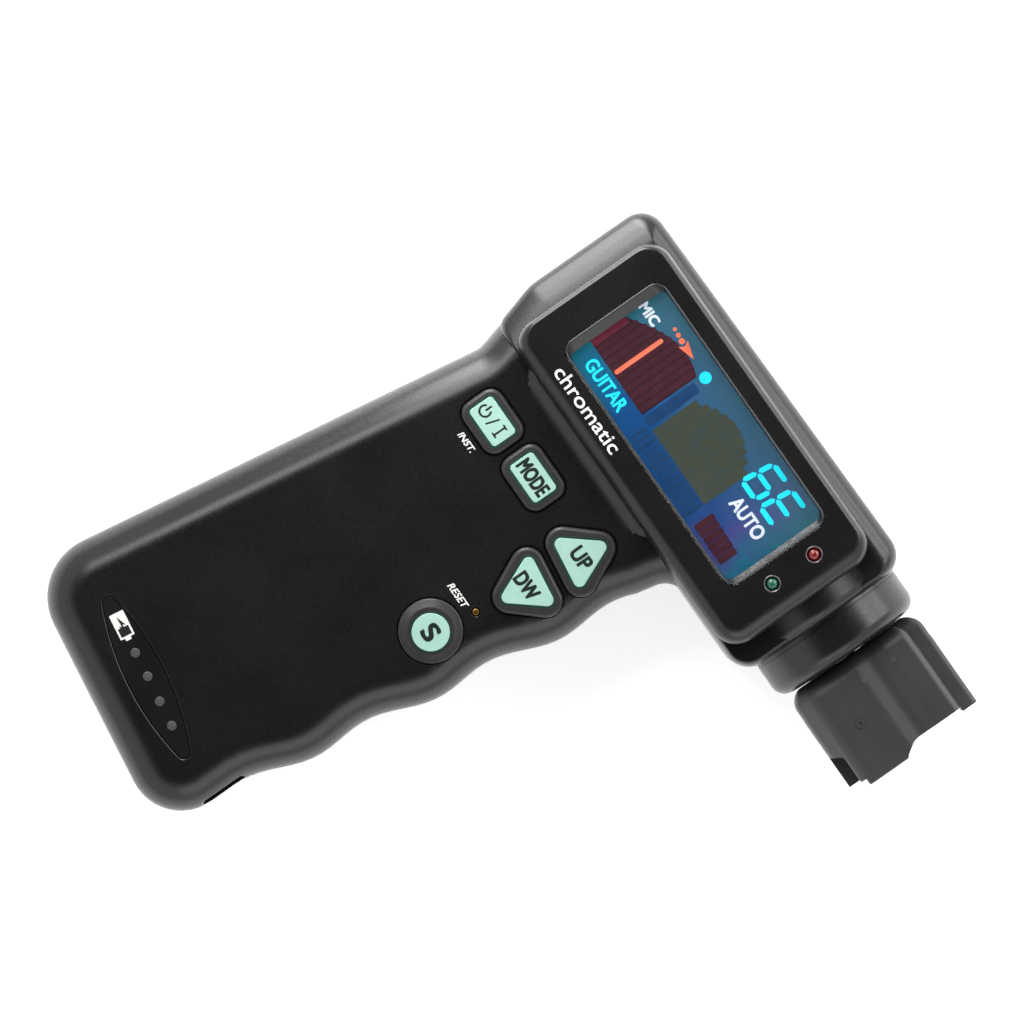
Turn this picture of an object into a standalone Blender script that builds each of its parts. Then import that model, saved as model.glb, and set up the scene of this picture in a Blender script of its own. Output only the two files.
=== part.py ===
"""Hand-held peg-winding guitar tuner, built piece by piece.

The tuner lies on its flat back. The winder's axis is the head's axis, along +X; the grip runs
down, along -Y; the face with the display and the keys looks up, along +Z. Lengths below are in
millimetres in the design frame: x from the back of the head, y from the winder's axis, z from
the flat back. The datum empty carries the design frame to the part's own frame, whose origin is
the middle of the outer box on the resting plane.
"""

import math

import bmesh
import bpy
from mathutils import Matrix, Vector

MM = 0.001

# --- Driving dimensions (mm) ---------------------------------------------------------------

ORIGIN_X = 48.01          # design frame: middle of the outer box
ORIGIN_Y = -49.8

AXIS_Y = -0.3              # winder axis
AXIS_Z = 14.9

WALL = 2.0                 # moulded wall of both shells
GAP = 0.3                  # clearance between neighbouring pieces
EDGE_SHARE = 0.8           # an inner edge is rounded less than the outer one by this share
REACH = 150.0              # a cutter that halves the body reaches this far
SPLIT_Z = 14.9             # parting plane between the two shells

HEAD_REAR = -0.8
HEAD_FRONT = 76.9
HEAD_LOW = -18.4
HEAD_HIGH_REAR = 15.8
HEAD_HIGH_FRONT = 17.0
HEAD_TOP = 29.4
HEAD_CORNER = 5.0
HEAD_EDGE = 3.4

BLOCK_REAR = 4.5           # raised display block
BLOCK_FRONT = 72.3
BLOCK_LOW = -17.9
BLOCK_HIGH = 13.6
BLOCK_TOP = 34.5
BLOCK_CORNER = 4.2
BLOCK_EDGE = 2.6

GRIP_TOP = 28.4
GRIP_EDGE = 6.6
GRIP_JOIN = -6.0           # the grip ends here, inside the head
BACK_RAKE = 0.1612         # dx/dy of the grip's straight back edge
BACK_X = -9.05             # its x at BACK_Y
BACK_Y = -98.0
FRONT_RAKE = 0.1638        # dx/dy of the line the finger grooves ride on
FRONT_X = 45.69            # its x at FRONT_Y
FRONT_Y = -81.0
FINGER_PITCH = 23.5
FINGER_DEPTH = 1.0
FINGER_CREST = -88.0       # y of the lowest crest
FINGER_TOP = -24.0
FINGER_BOTTOM = -104.5
BUTT_SLOPE = -0.1403       # dy/dx of the butt line
BUTT_Y = -112.2            # its y at x = 0
BUTT_REAR_RADIUS = 11.0
BUTT_FRONT_RADIUS = 9.4

WINDOW = (11.2, -11.6, 63.0, 9.8)      # x0, y0, x1, y1 of the display window
WINDOW_CORNER = 2.5
STATUS_LED_X = 66.3
STATUS_LED_Y = {"led_red": 4.1, "led_green": -4.8}
STATUS_LED_RADIUS = 1.2
STATUS_LED_TOP = 34.75
STATUS_LED_FOOT = 27.5

BEZEL = (33.5, 34.5)                   # heights of the display stack: underside and top
LENS = (32.1, 33.2)
LCD_HOLDER = (27.6, 31.8)
LCD_GLASS = (29.7, 31.7)
LIGHT_PANEL = (27.6, 29.3)
DISPLAY_BOARD = (26.0, 27.2)
LCD_AREA = (12.3, -11.2, 62.2, 9.5)    # x0, y0, x1, y1 of the glass and its light panel

GAUGE_CENTRE = (17.0, -103.8)          # battery gauge in the butt
GAUGE_HALF_LENGTH = 15.9
GAUGE_HALF_WIDTH = 3.5
GAUGE_TIP = 1.25                       # radius of its round ends
GAUGE_TILT = -8.5                      # degrees
GAUGE_WINDOW = (27.0, 28.2)            # underside and top of the clear window
GAUGE_LEDS = ((12.4, -102.9), (17.0, -103.5), (21.8, -104.3), (26.5, -105.0))

KEY_PROUD = 0.8                        # height above the grip's face
KEY_SKIRT = 0.4                        # the skirt that keeps a key in: its width
KEY_SKIRT_TOP = -3.0                   # and its top, below the grip's face
KEY_BOTTOM = -3.4
RESET = (40.7, -50.0)
RESET_BORE = 0.9
CUT_LOW = 24.0                         # a cutter through the face starts here
CUT_HIGH = 36.0                        # and one through the display block ends here

PORT_Y = -104.4                        # charging port in the grip's front edge
PORT_Z = 14.9
PORT_HALF = (4.9, 2.2)                 # half width and half height of the opening
PORT_SCOOP = (45.6, 5.2, 5.4)          # x, radius and half length of the scoop round it
SOCKET = (36.2, 3.6)                   # x of its middle and half its length

COLLAR = (77.2, 84.3, 14.65)           # start, end, radius
COLLAR_BEND = 2.6                      # radius of its front edge
COLLAR_BORE = 4.2
NOSE_BORE = (70.0, 80.0, 6.4)          # start, end, radius of the bore through the head
CUP = (84.7, 105.4)                    # winder cup, start and end
CUP_HALF_WIDTH = 13.5
CUP_ROUND = 14.2                       # radius of the turned form that rounds its shoulder
CUP_SHOULDER = 4.0
CUP_FLOOR = 90.0
MOUTH_STEP = 103.3                     # x at which the mouth's cut-away quarter ends
SIDE_NOTCH = (96.9, 104.3)
HUB_BORE = (92.0, 3.3)                 # end and radius of the bore that takes the shaft
POCKET_HALF = (10.0, 4.7)              # half sizes of the peg pocket, y and z

GEAR_MODULE = 0.5
SUN_TEETH = 12
PLANET_TEETH = 12
RING_TEETH = SUN_TEETH + 2 * PLANET_TEETH
PLANET_COUNT = 3
GEARBOX_RADIUS = 10.4
ADDENDUM = 0.38
DEDENDUM = 0.56
RING_ADDENDUM = 0.52
RING_DEDENDUM = 0.34
BACKLASH = 0.10
MOTOR_CAN = (9.6, 33.4, 8.0)           # start, end, radius
MOTOR_BORE = 1.3
END_CAP = (6.2, 9.3, 7.8)
SPINDLE = (6.4, 37.0, 1.0)
SUN_SPAN = (36.0, 41.6)
PLANET_SPAN = (36.2, 41.8)
PLANET_BORE = 1.15
PIN = (35.9, 43.0, 1.0)
CARRIER = (42.2, 44.7, 8.2)
RING_SPAN = (35.6, 45.0)
GEARBOX_BACK = (33.7, 35.3)
GEARBOX_FRONT = (45.3, 47.3)
SHAFT = (42.6, 89.4, 3.0)
BUSH = (68.6, 77.6, 6.0)
BUSH_FLANGE = (70.4, 7.6)              # end and radius of its flange
THRUST_WASHER = (67.5, 68.3, 5.6)
RUNNING_FIT = 0.12                     # radial clearance of the shaft in its bush

SCREWS = ((7.0, 11.6), (70.6, 11.9), (70.6, -13.8), (8.6, -44.0), (35.4, -92.0), (-0.8, -93.0))
BOSS_RADIUS = 2.6
BOSS_TOP = 27.0
PILOT_RADIUS = 1.15
PILOT_TOP = 23.0
SINK = (2.1, 3.2)                      # radius and depth of the recess for the screw's head
SCREW_HEIGHTS = (1.1, 2.9, 13.9)       # head, seat and tip
SCREW_RADII = (1.8, 0.85)              # head and thread

CELL_RADIUS = 8.7                      # lithium cell in the grip
CELL_LENGTH = 60.0
CELL_MID = (22.5, -61.0, 11.4)
CELL_TILT = -9.4

BOARD_Z = 21.6                         # underside of the main board
BOARD_THICK = 1.2
MAT_THICK = 0.9
SWITCH_HALF = 1.8                      # half the side of the reset switch
SWITCH_TOP = 24.9
PLUNGER = (25.6, 27.6, 0.6)            # start, end, radius
MICROPHONE = (12.0, -66.0, 3.0, 25.4)  # x, y, radius, top
GAUGE_LED = (0.9, 26.3)                # radius and the height of its shoulder
TERMINAL = (0.6, 2.6)                  # height and radius of the cell's end terminal
CELL_PAD = (5.0, 14.0)                 # half width and half length

# --- Scene set-up --------------------------------------------------------------------------

for old in list(bpy.data.objects):
    bpy.data.objects.remove(old, do_unlink=True)

PARTS = bpy.data.collections.new("winding_tuner")
CUTTERS = bpy.data.collections.new("cutters")
for collection in (PARTS, CUTTERS):
    bpy.context.scene.collection.children.link(collection)


def empty(name, place, parent=None, turn=(0.0, 0.0, 0.0)):
    """An empty that carries a frame: the datum, a joint's axis or a key's centre."""
    item = bpy.data.objects.new(name, None)
    item.location = Vector(place) * MM
    item.rotation_euler = [math.radians(angle) for angle in turn]
    item.parent = parent
    PARTS.objects.link(item)
    return item


DATUM = empty("datum", (-ORIGIN_X, -ORIGIN_Y, 0.0))
# Local z of the drive frame is the winder's axis; local x points to the back, local y up.
DRIVE = empty("winder_axis", (0.0, AXIS_Y, AXIS_Z), DATUM, (0.0, 90.0, 0.0))


def finish_colour(name, colour, roughness, metallic=0.0):
    """A plain Principled material with the piece's colour."""
    material = bpy.data.materials.new(name)
    material.use_nodes = True
    shader = material.node_tree.nodes["Principled BSDF"]
    shader.inputs["Base Color"].default_value = (*colour, 1.0)
    shader.inputs["Roughness"].default_value = roughness
    shader.inputs["Metallic"].default_value = metallic
    return material


BLACK_ABS = finish_colour("black_abs", (0.015, 0.014, 0.014), 0.38)
WINDER_ABS = finish_colour("winder_abs", (0.022, 0.022, 0.023), 0.42)
KEY_RUBBER = finish_colour("key_rubber", (0.045, 0.042, 0.042), 0.5)
MINT = finish_colour("mint_inlay", (0.39, 0.69, 0.58), 0.45)
CLEAR = finish_colour("clear_window", (0.03, 0.09, 0.16), 0.08)
GLASS = finish_colour("lcd_glass", (0.02, 0.12, 0.22), 0.1)
WHITE = finish_colour("white_diffuser", (0.8, 0.8, 0.78), 0.5)
GREEN_BOARD = finish_colour("circuit_board", (0.02, 0.12, 0.05), 0.5)
STEEL = finish_colour("steel", (0.55, 0.55, 0.56), 0.3, 1.0)
BRASS = finish_colour("brass", (0.6, 0.42, 0.18), 0.32, 1.0)
BRONZE = finish_colour("sintered_bronze", (0.42, 0.27, 0.15), 0.45, 1.0)
NYLON = finish_colour("gear_nylon", (0.75, 0.74, 0.7), 0.45)
GREY_ABS = finish_colour("grey_abs", (0.2, 0.2, 0.21), 0.5)
RED_LENS = finish_colour("red_lens", (0.35, 0.02, 0.03), 0.2)
GREEN_LENS = finish_colour("green_lens", (0.02, 0.2, 0.12), 0.2)
CELL_WRAP = finish_colour("cell_wrap", (0.02, 0.1, 0.35), 0.35)
FOAM = finish_colour("foam", (0.05, 0.05, 0.05), 0.9)

# --- Outlines ------------------------------------------------------------------------------


def rounded(corners, step=18.0):
    """A closed outline from (x, y, radius) corners, each turned as an arc."""
    points = []
    count = len(corners)
    for index, (x, y, radius) in enumerate(corners):
        here = Vector((x, y))
        if radius <= 0.0:
            points.append((x, y))
            continue
        back = (Vector(corners[index - 1][:2]) - here).normalized()
        ahead = (Vector(corners[(index + 1) % count][:2]) - here).normalized()
        half = back.angle(ahead) / 2.0
        reach = radius / math.tan(half)
        centre = here + (back + ahead).normalized() * radius / math.sin(half)
        start = here + back * reach - centre
        sweep = math.pi - 2.0 * half
        turn = 1.0 if back.x * ahead.y - back.y * ahead.x < 0.0 else -1.0
        pieces = max(2, math.ceil(math.degrees(sweep) / step))
        for piece in range(pieces + 1):
            spin = Matrix.Rotation(turn * sweep * piece / pieces, 2)
            points.append(tuple(centre + spin @ start))
    return points


def rectangle(x0, y0, x1, y1, radius, step=18.0):
    """A rectangle with round corners."""
    return rounded([(x0, y0, radius), (x1, y0, radius), (x1, y1, radius), (x0, y1, radius)], step)


def circle(x, y, radius, sides=24):
    """A circle as a polygon."""
    angles = [2.0 * math.pi * side / sides for side in range(sides)]
    return [(x + radius * math.cos(angle), y + radius * math.sin(angle)) for angle in angles]


def soft_triangle(half_width, height, radius):
    """A triangle standing on its base, with round corners, centred on its middle height."""
    centres = [Vector((radius - half_width, radius - height / 2.0)),
               Vector((half_width - radius, radius - height / 2.0)),
               Vector((0.0, height / 2.0 - radius))]
    corners = []
    for index, centre in enumerate(centres):
        back = (centres[index - 1] - centre).normalized()
        ahead = (centres[(index + 1) % 3] - centre).normalized()
        corner = centre - (back + ahead).normalized() * radius / math.sin(back.angle(ahead) / 2.0)
        corners.append((corner.x, corner.y, radius))
    return rounded(corners)


def back_edge(y):
    """x of the grip's straight back edge."""
    return BACK_X + (y - BACK_Y) * BACK_RAKE


def front_edge(y):
    """x of the grip's front edge: a cosine of finger grooves on a raked line."""
    wave = math.cos(2.0 * math.pi * (y - FINGER_CREST) / FINGER_PITCH)
    return FRONT_X + (y - FRONT_Y) * FRONT_RAKE + FINGER_DEPTH * wave


def grip_outline(inset=0.0):
    """The grip's outline, drawn in by inset all round."""
    low = BUTT_Y + inset
    heel_y = -110.6 + inset
    toe_x = front_edge(FINGER_BOTTOM) - inset
    corners = [
        (back_edge(GRIP_JOIN) + inset, GRIP_JOIN - inset, 8.0),
        (back_edge(heel_y) + inset, heel_y, BUTT_REAR_RADIUS - inset),
        (toe_x, low + BUTT_SLOPE * toe_x, BUTT_FRONT_RADIUS - inset),
    ]
    steps = round((FINGER_TOP - FINGER_BOTTOM) / 3.0)
    span = (FINGER_TOP - FINGER_BOTTOM) / steps
    for step in range(steps + 1):
        y = FINGER_BOTTOM + step * span
        corners.append((front_edge(y) - inset, y, 0.0))
    corners.append((front_edge(FINGER_TOP) - inset + 2.0, GRIP_JOIN - inset, 8.0))
    return rounded(corners)


def head_outline(inset=0.0):
    """The head's outline, a little narrower at the back."""
    radius = HEAD_CORNER - inset
    return rounded([
        (HEAD_REAR + inset, HEAD_LOW + inset, radius),
        (HEAD_FRONT - inset, HEAD_LOW + inset, radius),
        (HEAD_FRONT - inset, HEAD_HIGH_FRONT - inset, radius),
        (HEAD_REAR + inset, HEAD_HIGH_REAR - inset, radius),
    ])


def block_outline(inset=0.0):
    """The raised display block's outline."""
    return rectangle(BLOCK_REAR + inset, BLOCK_LOW + inset, BLOCK_FRONT - inset,
                     BLOCK_HIGH - inset, BLOCK_CORNER - inset)


def gauge_outline(inset=0.0, steps=6):
    """The leaf-shaped window of the battery gauge: two wide arcs and two round tips."""
    reach = GAUGE_HALF_LENGTH - GAUGE_TIP
    flank = ((reach ** 2 + GAUGE_HALF_WIDTH ** 2 - GAUGE_TIP ** 2)
             / 2.0 / (GAUGE_HALF_WIDTH - GAUGE_TIP))
    lean = math.atan2(reach, flank - GAUGE_HALF_WIDTH)
    drop = GAUGE_HALF_WIDTH - flank
    tilt = math.radians(GAUGE_TILT)
    points = []
    for centre, radius, start, stop in (
            ((reach, 0.0), GAUGE_TIP, lean - math.pi / 2.0, math.pi / 2.0 - lean),
            ((0.0, drop), flank, math.pi / 2.0 - lean, math.pi / 2.0 + lean),
            ((-reach, 0.0), GAUGE_TIP, math.pi / 2.0 + lean, 1.5 * math.pi - lean),
            ((0.0, -drop), flank, 1.5 * math.pi - lean, 1.5 * math.pi + lean)):
        for step in range(steps):
            angle = start + (stop - start) * step / steps
            along = centre[0] + (radius - inset) * math.cos(angle)
            across = centre[1] + (radius - inset) * math.sin(angle)
            points.append((GAUGE_CENTRE[0] + along * math.cos(tilt) - across * math.sin(tilt),
                           GAUGE_CENTRE[1] + along * math.sin(tilt) + across * math.cos(tilt)))
    return points


def involute(radius, base):
    """The involute angle at a radius."""
    ratio = math.sqrt(max(0.0, (radius / base) ** 2 - 1.0))
    return ratio - math.atan(ratio)


def gear_outline(teeth, addendum, dedendum, thinning, phase=0.0, flank_steps=3):
    """A spur gear's outline with involute flanks; phase turns it, in degrees."""
    pitch = teeth * GEAR_MODULE / 2.0
    base = pitch * math.cos(math.radians(20.0))
    tip = pitch + addendum
    root = pitch - dedendum
    half = math.pi / (2.0 * teeth) - thinning / (2.0 * pitch)
    low = max(base, root)
    radii = [root] + [low + (tip - low) * step / (flank_steps - 1) for step in range(flank_steps)]
    flank = [(radius, half + involute(pitch, base) - involute(radius, base)) for radius in radii]
    points = []
    for tooth in range(teeth):
        middle = math.radians(phase) + 2.0 * math.pi * tooth / teeth
        side = [(radius, middle - angle) for radius, angle in flank]
        side += [(radius, middle + angle) for radius, angle in reversed(flank)]
        points += [(radius * math.cos(angle), radius * math.sin(angle)) for radius, angle in side]
    return points

# --- Solids --------------------------------------------------------------------------------


def place(name, mesh, material, parent, location, rotation=(0.0, 0.0, 0.0)):
    """Put a mesh in its collection; no material means that it is a cutter."""
    item = bpy.data.objects.new(name, mesh)
    item.parent = parent
    item.location = Vector(location) * MM
    item.rotation_euler = [math.radians(angle) for angle in rotation]
    if material is None:
        CUTTERS.objects.link(item)
        item.hide_render = True
        item.display_type = "WIRE"
    else:
        mesh.materials.append(material)
        PARTS.objects.link(item)
    return item


def slab(name, outlines, z0, z1, material=None, parent=DATUM, at=(0.0, 0.0), turn=0.0):
    """A flat outline, with its holes, extruded between two heights."""
    curve = bpy.data.curves.new(name, "CURVE")
    curve.dimensions = "2D"
    curve.fill_mode = "BOTH"
    curve.extrude = (z1 - z0) / 2.0 * MM
    for outline in outlines:
        spline = curve.splines.new("POLY")
        spline.points.add(len(outline) - 1)
        for point, (x, y) in zip(spline.points, outline):
            point.co = (x * MM, y * MM, 0.0, 1.0)
        spline.use_cyclic_u = True
    drawing = bpy.data.objects.new(name + "_outline", curve)
    PARTS.objects.link(drawing)
    graph = bpy.context.evaluated_depsgraph_get()
    mesh = bpy.data.meshes.new_from_object(drawing.evaluated_get(graph))
    bpy.data.objects.remove(drawing, do_unlink=True)
    bpy.data.curves.remove(curve)
    work = bmesh.new()
    work.from_mesh(mesh)
    bmesh.ops.remove_doubles(work, verts=work.verts, dist=0.000001)
    bmesh.ops.dissolve_limit(work, angle_limit=math.radians(0.5), verts=work.verts,
                             edges=work.edges, use_dissolve_boundaries=False)
    bmesh.ops.recalc_face_normals(work, faces=work.faces)
    work.to_mesh(mesh)
    work.free()
    mesh.name = name
    middle = (z0 + z1) / 2.0
    return place(name, mesh, material, parent, (*at, middle), (0.0, 0.0, turn))


def turned(name, profile, material=None, parent=DRIVE, ring=False, steps=32, at=(0.0, 0.0, 0.0)):
    """A profile of (radius, height), listed top to bottom down its outer side, spun about z."""
    mesh = bpy.data.meshes.new(name)
    points = [(radius * MM, 0.0, height * MM) for radius, height in profile]
    edges = [(index, index + 1) for index in range(len(points) - 1)]
    if ring:
        edges.append((len(points) - 1, 0))
    mesh.from_pydata(points, edges, [])
    item = place(name, mesh, material, parent, at)
    screw = item.modifiers.new("spin", "SCREW")
    screw.steps = steps
    screw.render_steps = steps
    screw.use_merge_vertices = True
    screw.merge_threshold = 0.00001
    screw.use_smooth_shade = False
    return item


def block(name, low, high, material=None, parent=DATUM):
    """A box between two corners."""
    mesh = bpy.data.meshes.new(name)
    work = bmesh.new()
    bmesh.ops.create_cube(work, size=1.0)
    size = [b - a for a, b in zip(low, high)]
    bmesh.ops.scale(work, vec=Vector(size) * MM, verts=work.verts)
    work.to_mesh(mesh)
    work.free()
    middle = [(a + b) / 2.0 for a, b in zip(low, high)]
    return place(name, mesh, material, parent, middle)


def bevelled(item, width, segments, angle=40.0):
    """Round the sharp edges of a piece."""
    bevel = item.modifiers.new("bevel", "BEVEL")
    bevel.width = width * MM
    bevel.segments = segments
    bevel.limit_method = "ANGLE"
    bevel.angle_limit = math.radians(angle)
    bevel.use_clamp_overlap = False
    return item


def combine(item, other, operation="DIFFERENCE"):
    """Cut a piece with a cutter, or join a shape to it."""
    boolean = item.modifiers.new(operation.lower() + "_" + other.name, "BOOLEAN")
    boolean.operation = operation
    boolean.object = other
    boolean.solver = "EXACT"
    return item

# --- Housing -------------------------------------------------------------------------------


def body_solid(name, material, inset):
    """The outer form of the whole body, or its hollow when inset by the wall."""
    floor = inset
    grip = slab(name, [grip_outline(inset)], floor, GRIP_TOP - inset, material)
    bevelled(grip, GRIP_EDGE - inset, 3)
    head = slab(name + "_head", [head_outline(inset)], floor, HEAD_TOP - inset)
    bevelled(head, HEAD_EDGE - inset * EDGE_SHARE, 3)
    raised = slab(name + "_block", [block_outline(inset)], SPLIT_Z, BLOCK_TOP - inset)
    bevelled(raised, BLOCK_EDGE - inset * EDGE_SHARE, 3)
    combine(grip, head, "UNION")
    combine(grip, raised, "UNION")
    return grip


def key_shapes():
    """Outline of every key's rubber body and of its mint inlay, about the key's own centre."""
    arrow = soft_triangle(6.5, 11.2, 3.0)
    small_arrow = soft_triangle(4.9, 8.5, 1.3)
    flip = [(-x, -y) for x, y in arrow]
    small_flip = [(-x, -y) for x, y in small_arrow]
    return {
        "power": ((15.1, -28.5), 0.0, rectangle(-5.2, -4.1, 5.2, 4.1, 2.4),
                  rectangle(-4.1, -2.65, 4.1, 2.65, 0.9)),
        "mode": ((27.2, -28.3), 0.0, rectangle(-5.4, -4.1, 5.4, 4.1, 2.4),
                 rectangle(-4.15, -2.65, 4.15, 2.65, 0.9)),
        "up": ((43.5, -28.6), -8.0, arrow, small_arrow),
        "down": ((42.2, -41.0), -8.0, flip, small_flip),
        "save": ((38.9, -58.4), 0.0, circle(0.0, 0.0, 5.9, 28), circle(0.0, 0.0, 3.7, 24)),
    }


def grown(outline, by):
    """An outline scaled about its centre so that it grows by a clearance."""
    reach = max(math.hypot(x, y) for x, y in outline)
    scale = (reach + by) / reach
    return [(x * scale, y * scale) for x, y in outline]


def build_housing():
    """Front and rear shell: the same hollow body, split at the parting plane."""
    hollow = body_solid("hollow", None, WALL)
    below = block("below_split", (-REACH, -REACH, -REACH), (REACH, REACH, SPLIT_Z + GAP / 2))
    above = block("above_split", (-REACH, -REACH, SPLIT_Z - GAP / 2), (REACH, REACH, REACH))
    bore_start, bore_end, bore = NOSE_BORE
    nose_bore = turned("nose_bore", [(0, bore_end), (bore, bore_end), (bore, bore_start),
                                     (0, bore_start)])
    port_y, port_z = PORT_HALF
    port = block("port_cut", (SOCKET[0] - port_y, PORT_Y - port_y, PORT_Z - port_z),
                 (FRONT_X + port_y, PORT_Y + port_y, PORT_Z + port_z))
    scoop_x, scoop_radius, scoop_half = PORT_SCOOP
    scoop = turned("port_scoop", [(0, scoop_half), (scoop_radius, scoop_half),
                                  (scoop_radius, -scoop_half), (0, -scoop_half)],
                   parent=DATUM, at=(scoop_x, PORT_Y, PORT_Z))
    scoop.rotation_euler = (math.radians(90.0), 0.0, 0.0)

    front = body_solid("front_shell", BLACK_ABS, 0.0)
    rear = body_solid("rear_shell", BLACK_ABS, 0.0)
    for shell, half in ((front, below), (rear, above)):
        combine(shell, hollow)
        combine(shell, half)
    for number, (x, y) in enumerate(SCREWS, 1):
        high_boss = slab(f"front_boss_{number}", [circle(x, y, BOSS_RADIUS, 12)],
                         SPLIT_Z + GAP / 2, BOSS_TOP)
        low_boss = slab(f"rear_boss_{number}", [circle(x, y, BOSS_RADIUS, 12)],
                        WALL / 2, SPLIT_Z - GAP / 2)
        combine(front, high_boss, "UNION")
        combine(rear, low_boss, "UNION")
        pilot = slab(f"pilot_{number}", [circle(x, y, PILOT_RADIUS, 12)], -WALL, PILOT_TOP)
        sink = slab(f"sink_{number}", [circle(x, y, SINK[0], 16)], -WALL, SINK[1])
        combine(front, pilot)
        combine(rear, pilot)
        combine(rear, sink)
    for shell in (front, rear):
        combine(shell, nose_bore)
        combine(shell, port)
        combine(shell, scoop)

    window = slab("window_cut", [rectangle(*WINDOW, WINDOW_CORNER)], HEAD_TOP, CUT_HIGH)
    gauge = slab("gauge_cut", [gauge_outline()], CUT_LOW, HEAD_TOP)
    reset = slab("reset_cut", [circle(*RESET, RESET_BORE, 12)], CUT_LOW, HEAD_TOP)
    for cutter in (window, gauge, reset):
        combine(front, cutter)
    for name, y in STATUS_LED_Y.items():
        combine(front, slab(name + "_cut", [circle(STATUS_LED_X, y, STATUS_LED_RADIUS + GAP, 16)],
                            HEAD_TOP, CUT_HIGH))
    for name, (centre, tilt, body, _inlay) in key_shapes().items():
        combine(front, slab(name + "_cut", [grown(body, GAP)], CUT_LOW, HEAD_TOP, None, DATUM,
                            centre, tilt))
        combine(front, slab(name + "_skirt_cut", [grown(body, KEY_SKIRT + GAP)], CUT_LOW,
                            GRIP_TOP + KEY_SKIRT_TOP + GAP, None, DATUM, centre, tilt))

    for number, (x, y) in enumerate(SCREWS, 1):
        head_z, seat_z, tip_z = SCREW_HEIGHTS
        head, thread = SCREW_RADII
        profile = [(0, tip_z), (thread, tip_z), (thread, seat_z), (head, seat_z), (head, head_z),
                   (0, head_z)]
        turned(f"case_screw_{number}", profile, STEEL, DATUM, steps=12, at=(x, y, 0.0))


def build_nose():
    """The round collar that closes the head round the output shaft."""
    start, end, radius = COLLAR
    bend = COLLAR_BEND
    profile = [(COLLAR_BORE, end)]
    for step in range(5):
        angle = math.radians(90.0 - 22.5 * step)
        profile.append((radius - bend + bend * math.cos(angle), end - bend + bend * math.sin(angle)))
    profile += [(radius, start), (radius - WALL, start), (radius - WALL, end - WALL),
                (COLLAR_BORE, end - WALL)]
    turned("nose_collar", profile, BLACK_ABS, ring=True, steps=40)

# --- Display -------------------------------------------------------------------------------


def build_display():
    """Window, bezel, liquid-crystal cell, its holder, light panel and board."""
    x0, y0, x1, y1 = WINDOW
    outer = rectangle(x0 + GAP, y0 + GAP, x1 - GAP, y1 - GAP, WINDOW_CORNER - GAP)
    inner = rectangle(x0 + 1.7, y0 + 1.1, x1 - 1.9, y1 - 0.8, 1.4)
    slab("window_bezel", [outer, inner], *BEZEL, GREY_ABS)
    slab("display_lens", [rectangle(x0 + 0.4, y0 + 0.4, x1 - 0.4, y1 - 0.4, 2.1)], *LENS, CLEAR)
    glass = rectangle(*LCD_AREA, 0.4)
    left, low, right, high = LCD_AREA
    slab("lcd_holder", [rectangle(left - 2.6, low - 2.4, right + 2.1, high + 1.8, 1.5),
                        rectangle(left - GAP, low - GAP, right + GAP, high + GAP, 0.6)],
         *LCD_HOLDER, WHITE)
    slab("lcd_glass", [glass], *LCD_GLASS, GLASS)
    slab("light_panel", [glass], *LIGHT_PANEL, WHITE)
    slab("display_board", [rectangle(left - 2.6, low - 3.8, right + 5.2, high + 1.5, 1.0)],
         *DISPLAY_BOARD, GREEN_BOARD)
    for (name, y), lens in zip(STATUS_LED_Y.items(), (RED_LENS, GREEN_LENS)):
        radius = STATUS_LED_RADIUS
        top, foot = STATUS_LED_TOP, STATUS_LED_FOOT
        dome = [(0, top), (radius * 0.55, top - 0.15), (radius * 0.9, top - 0.55),
                (radius, top - 1.05)]
        flange = [(radius, foot + 1.1), (radius + 0.4, foot + 1.1), (radius + 0.4, foot),
                  (0, foot)]
        turned(name, dome + flange, lens, DATUM, steps=16, at=(STATUS_LED_X, y, 0.0))

# --- Keys, reset and battery gauge ---------------------------------------------------------


def build_keys():
    """Five sliding rubber keys with mint inlays; each pair hangs from an empty on its centre."""
    for name, (centre, tilt, body, inlay) in key_shapes().items():
        axis = empty("key_" + name + "_axis", (*centre, GRIP_TOP), DATUM, (0.0, 0.0, tilt))
        cap_top = KEY_PROUD - 0.6
        key = slab("key_" + name, [body], KEY_BOTTOM, cap_top, KEY_RUBBER, axis)
        skirt = slab("skirt_" + name, [grown(body, KEY_SKIRT)], KEY_BOTTOM, KEY_SKIRT_TOP, None,
                     axis)
        combine(key, skirt, "UNION")
        slab("key_" + name + "_inlay", [inlay], cap_top + 0.2, KEY_PROUD, MINT, axis)


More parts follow.
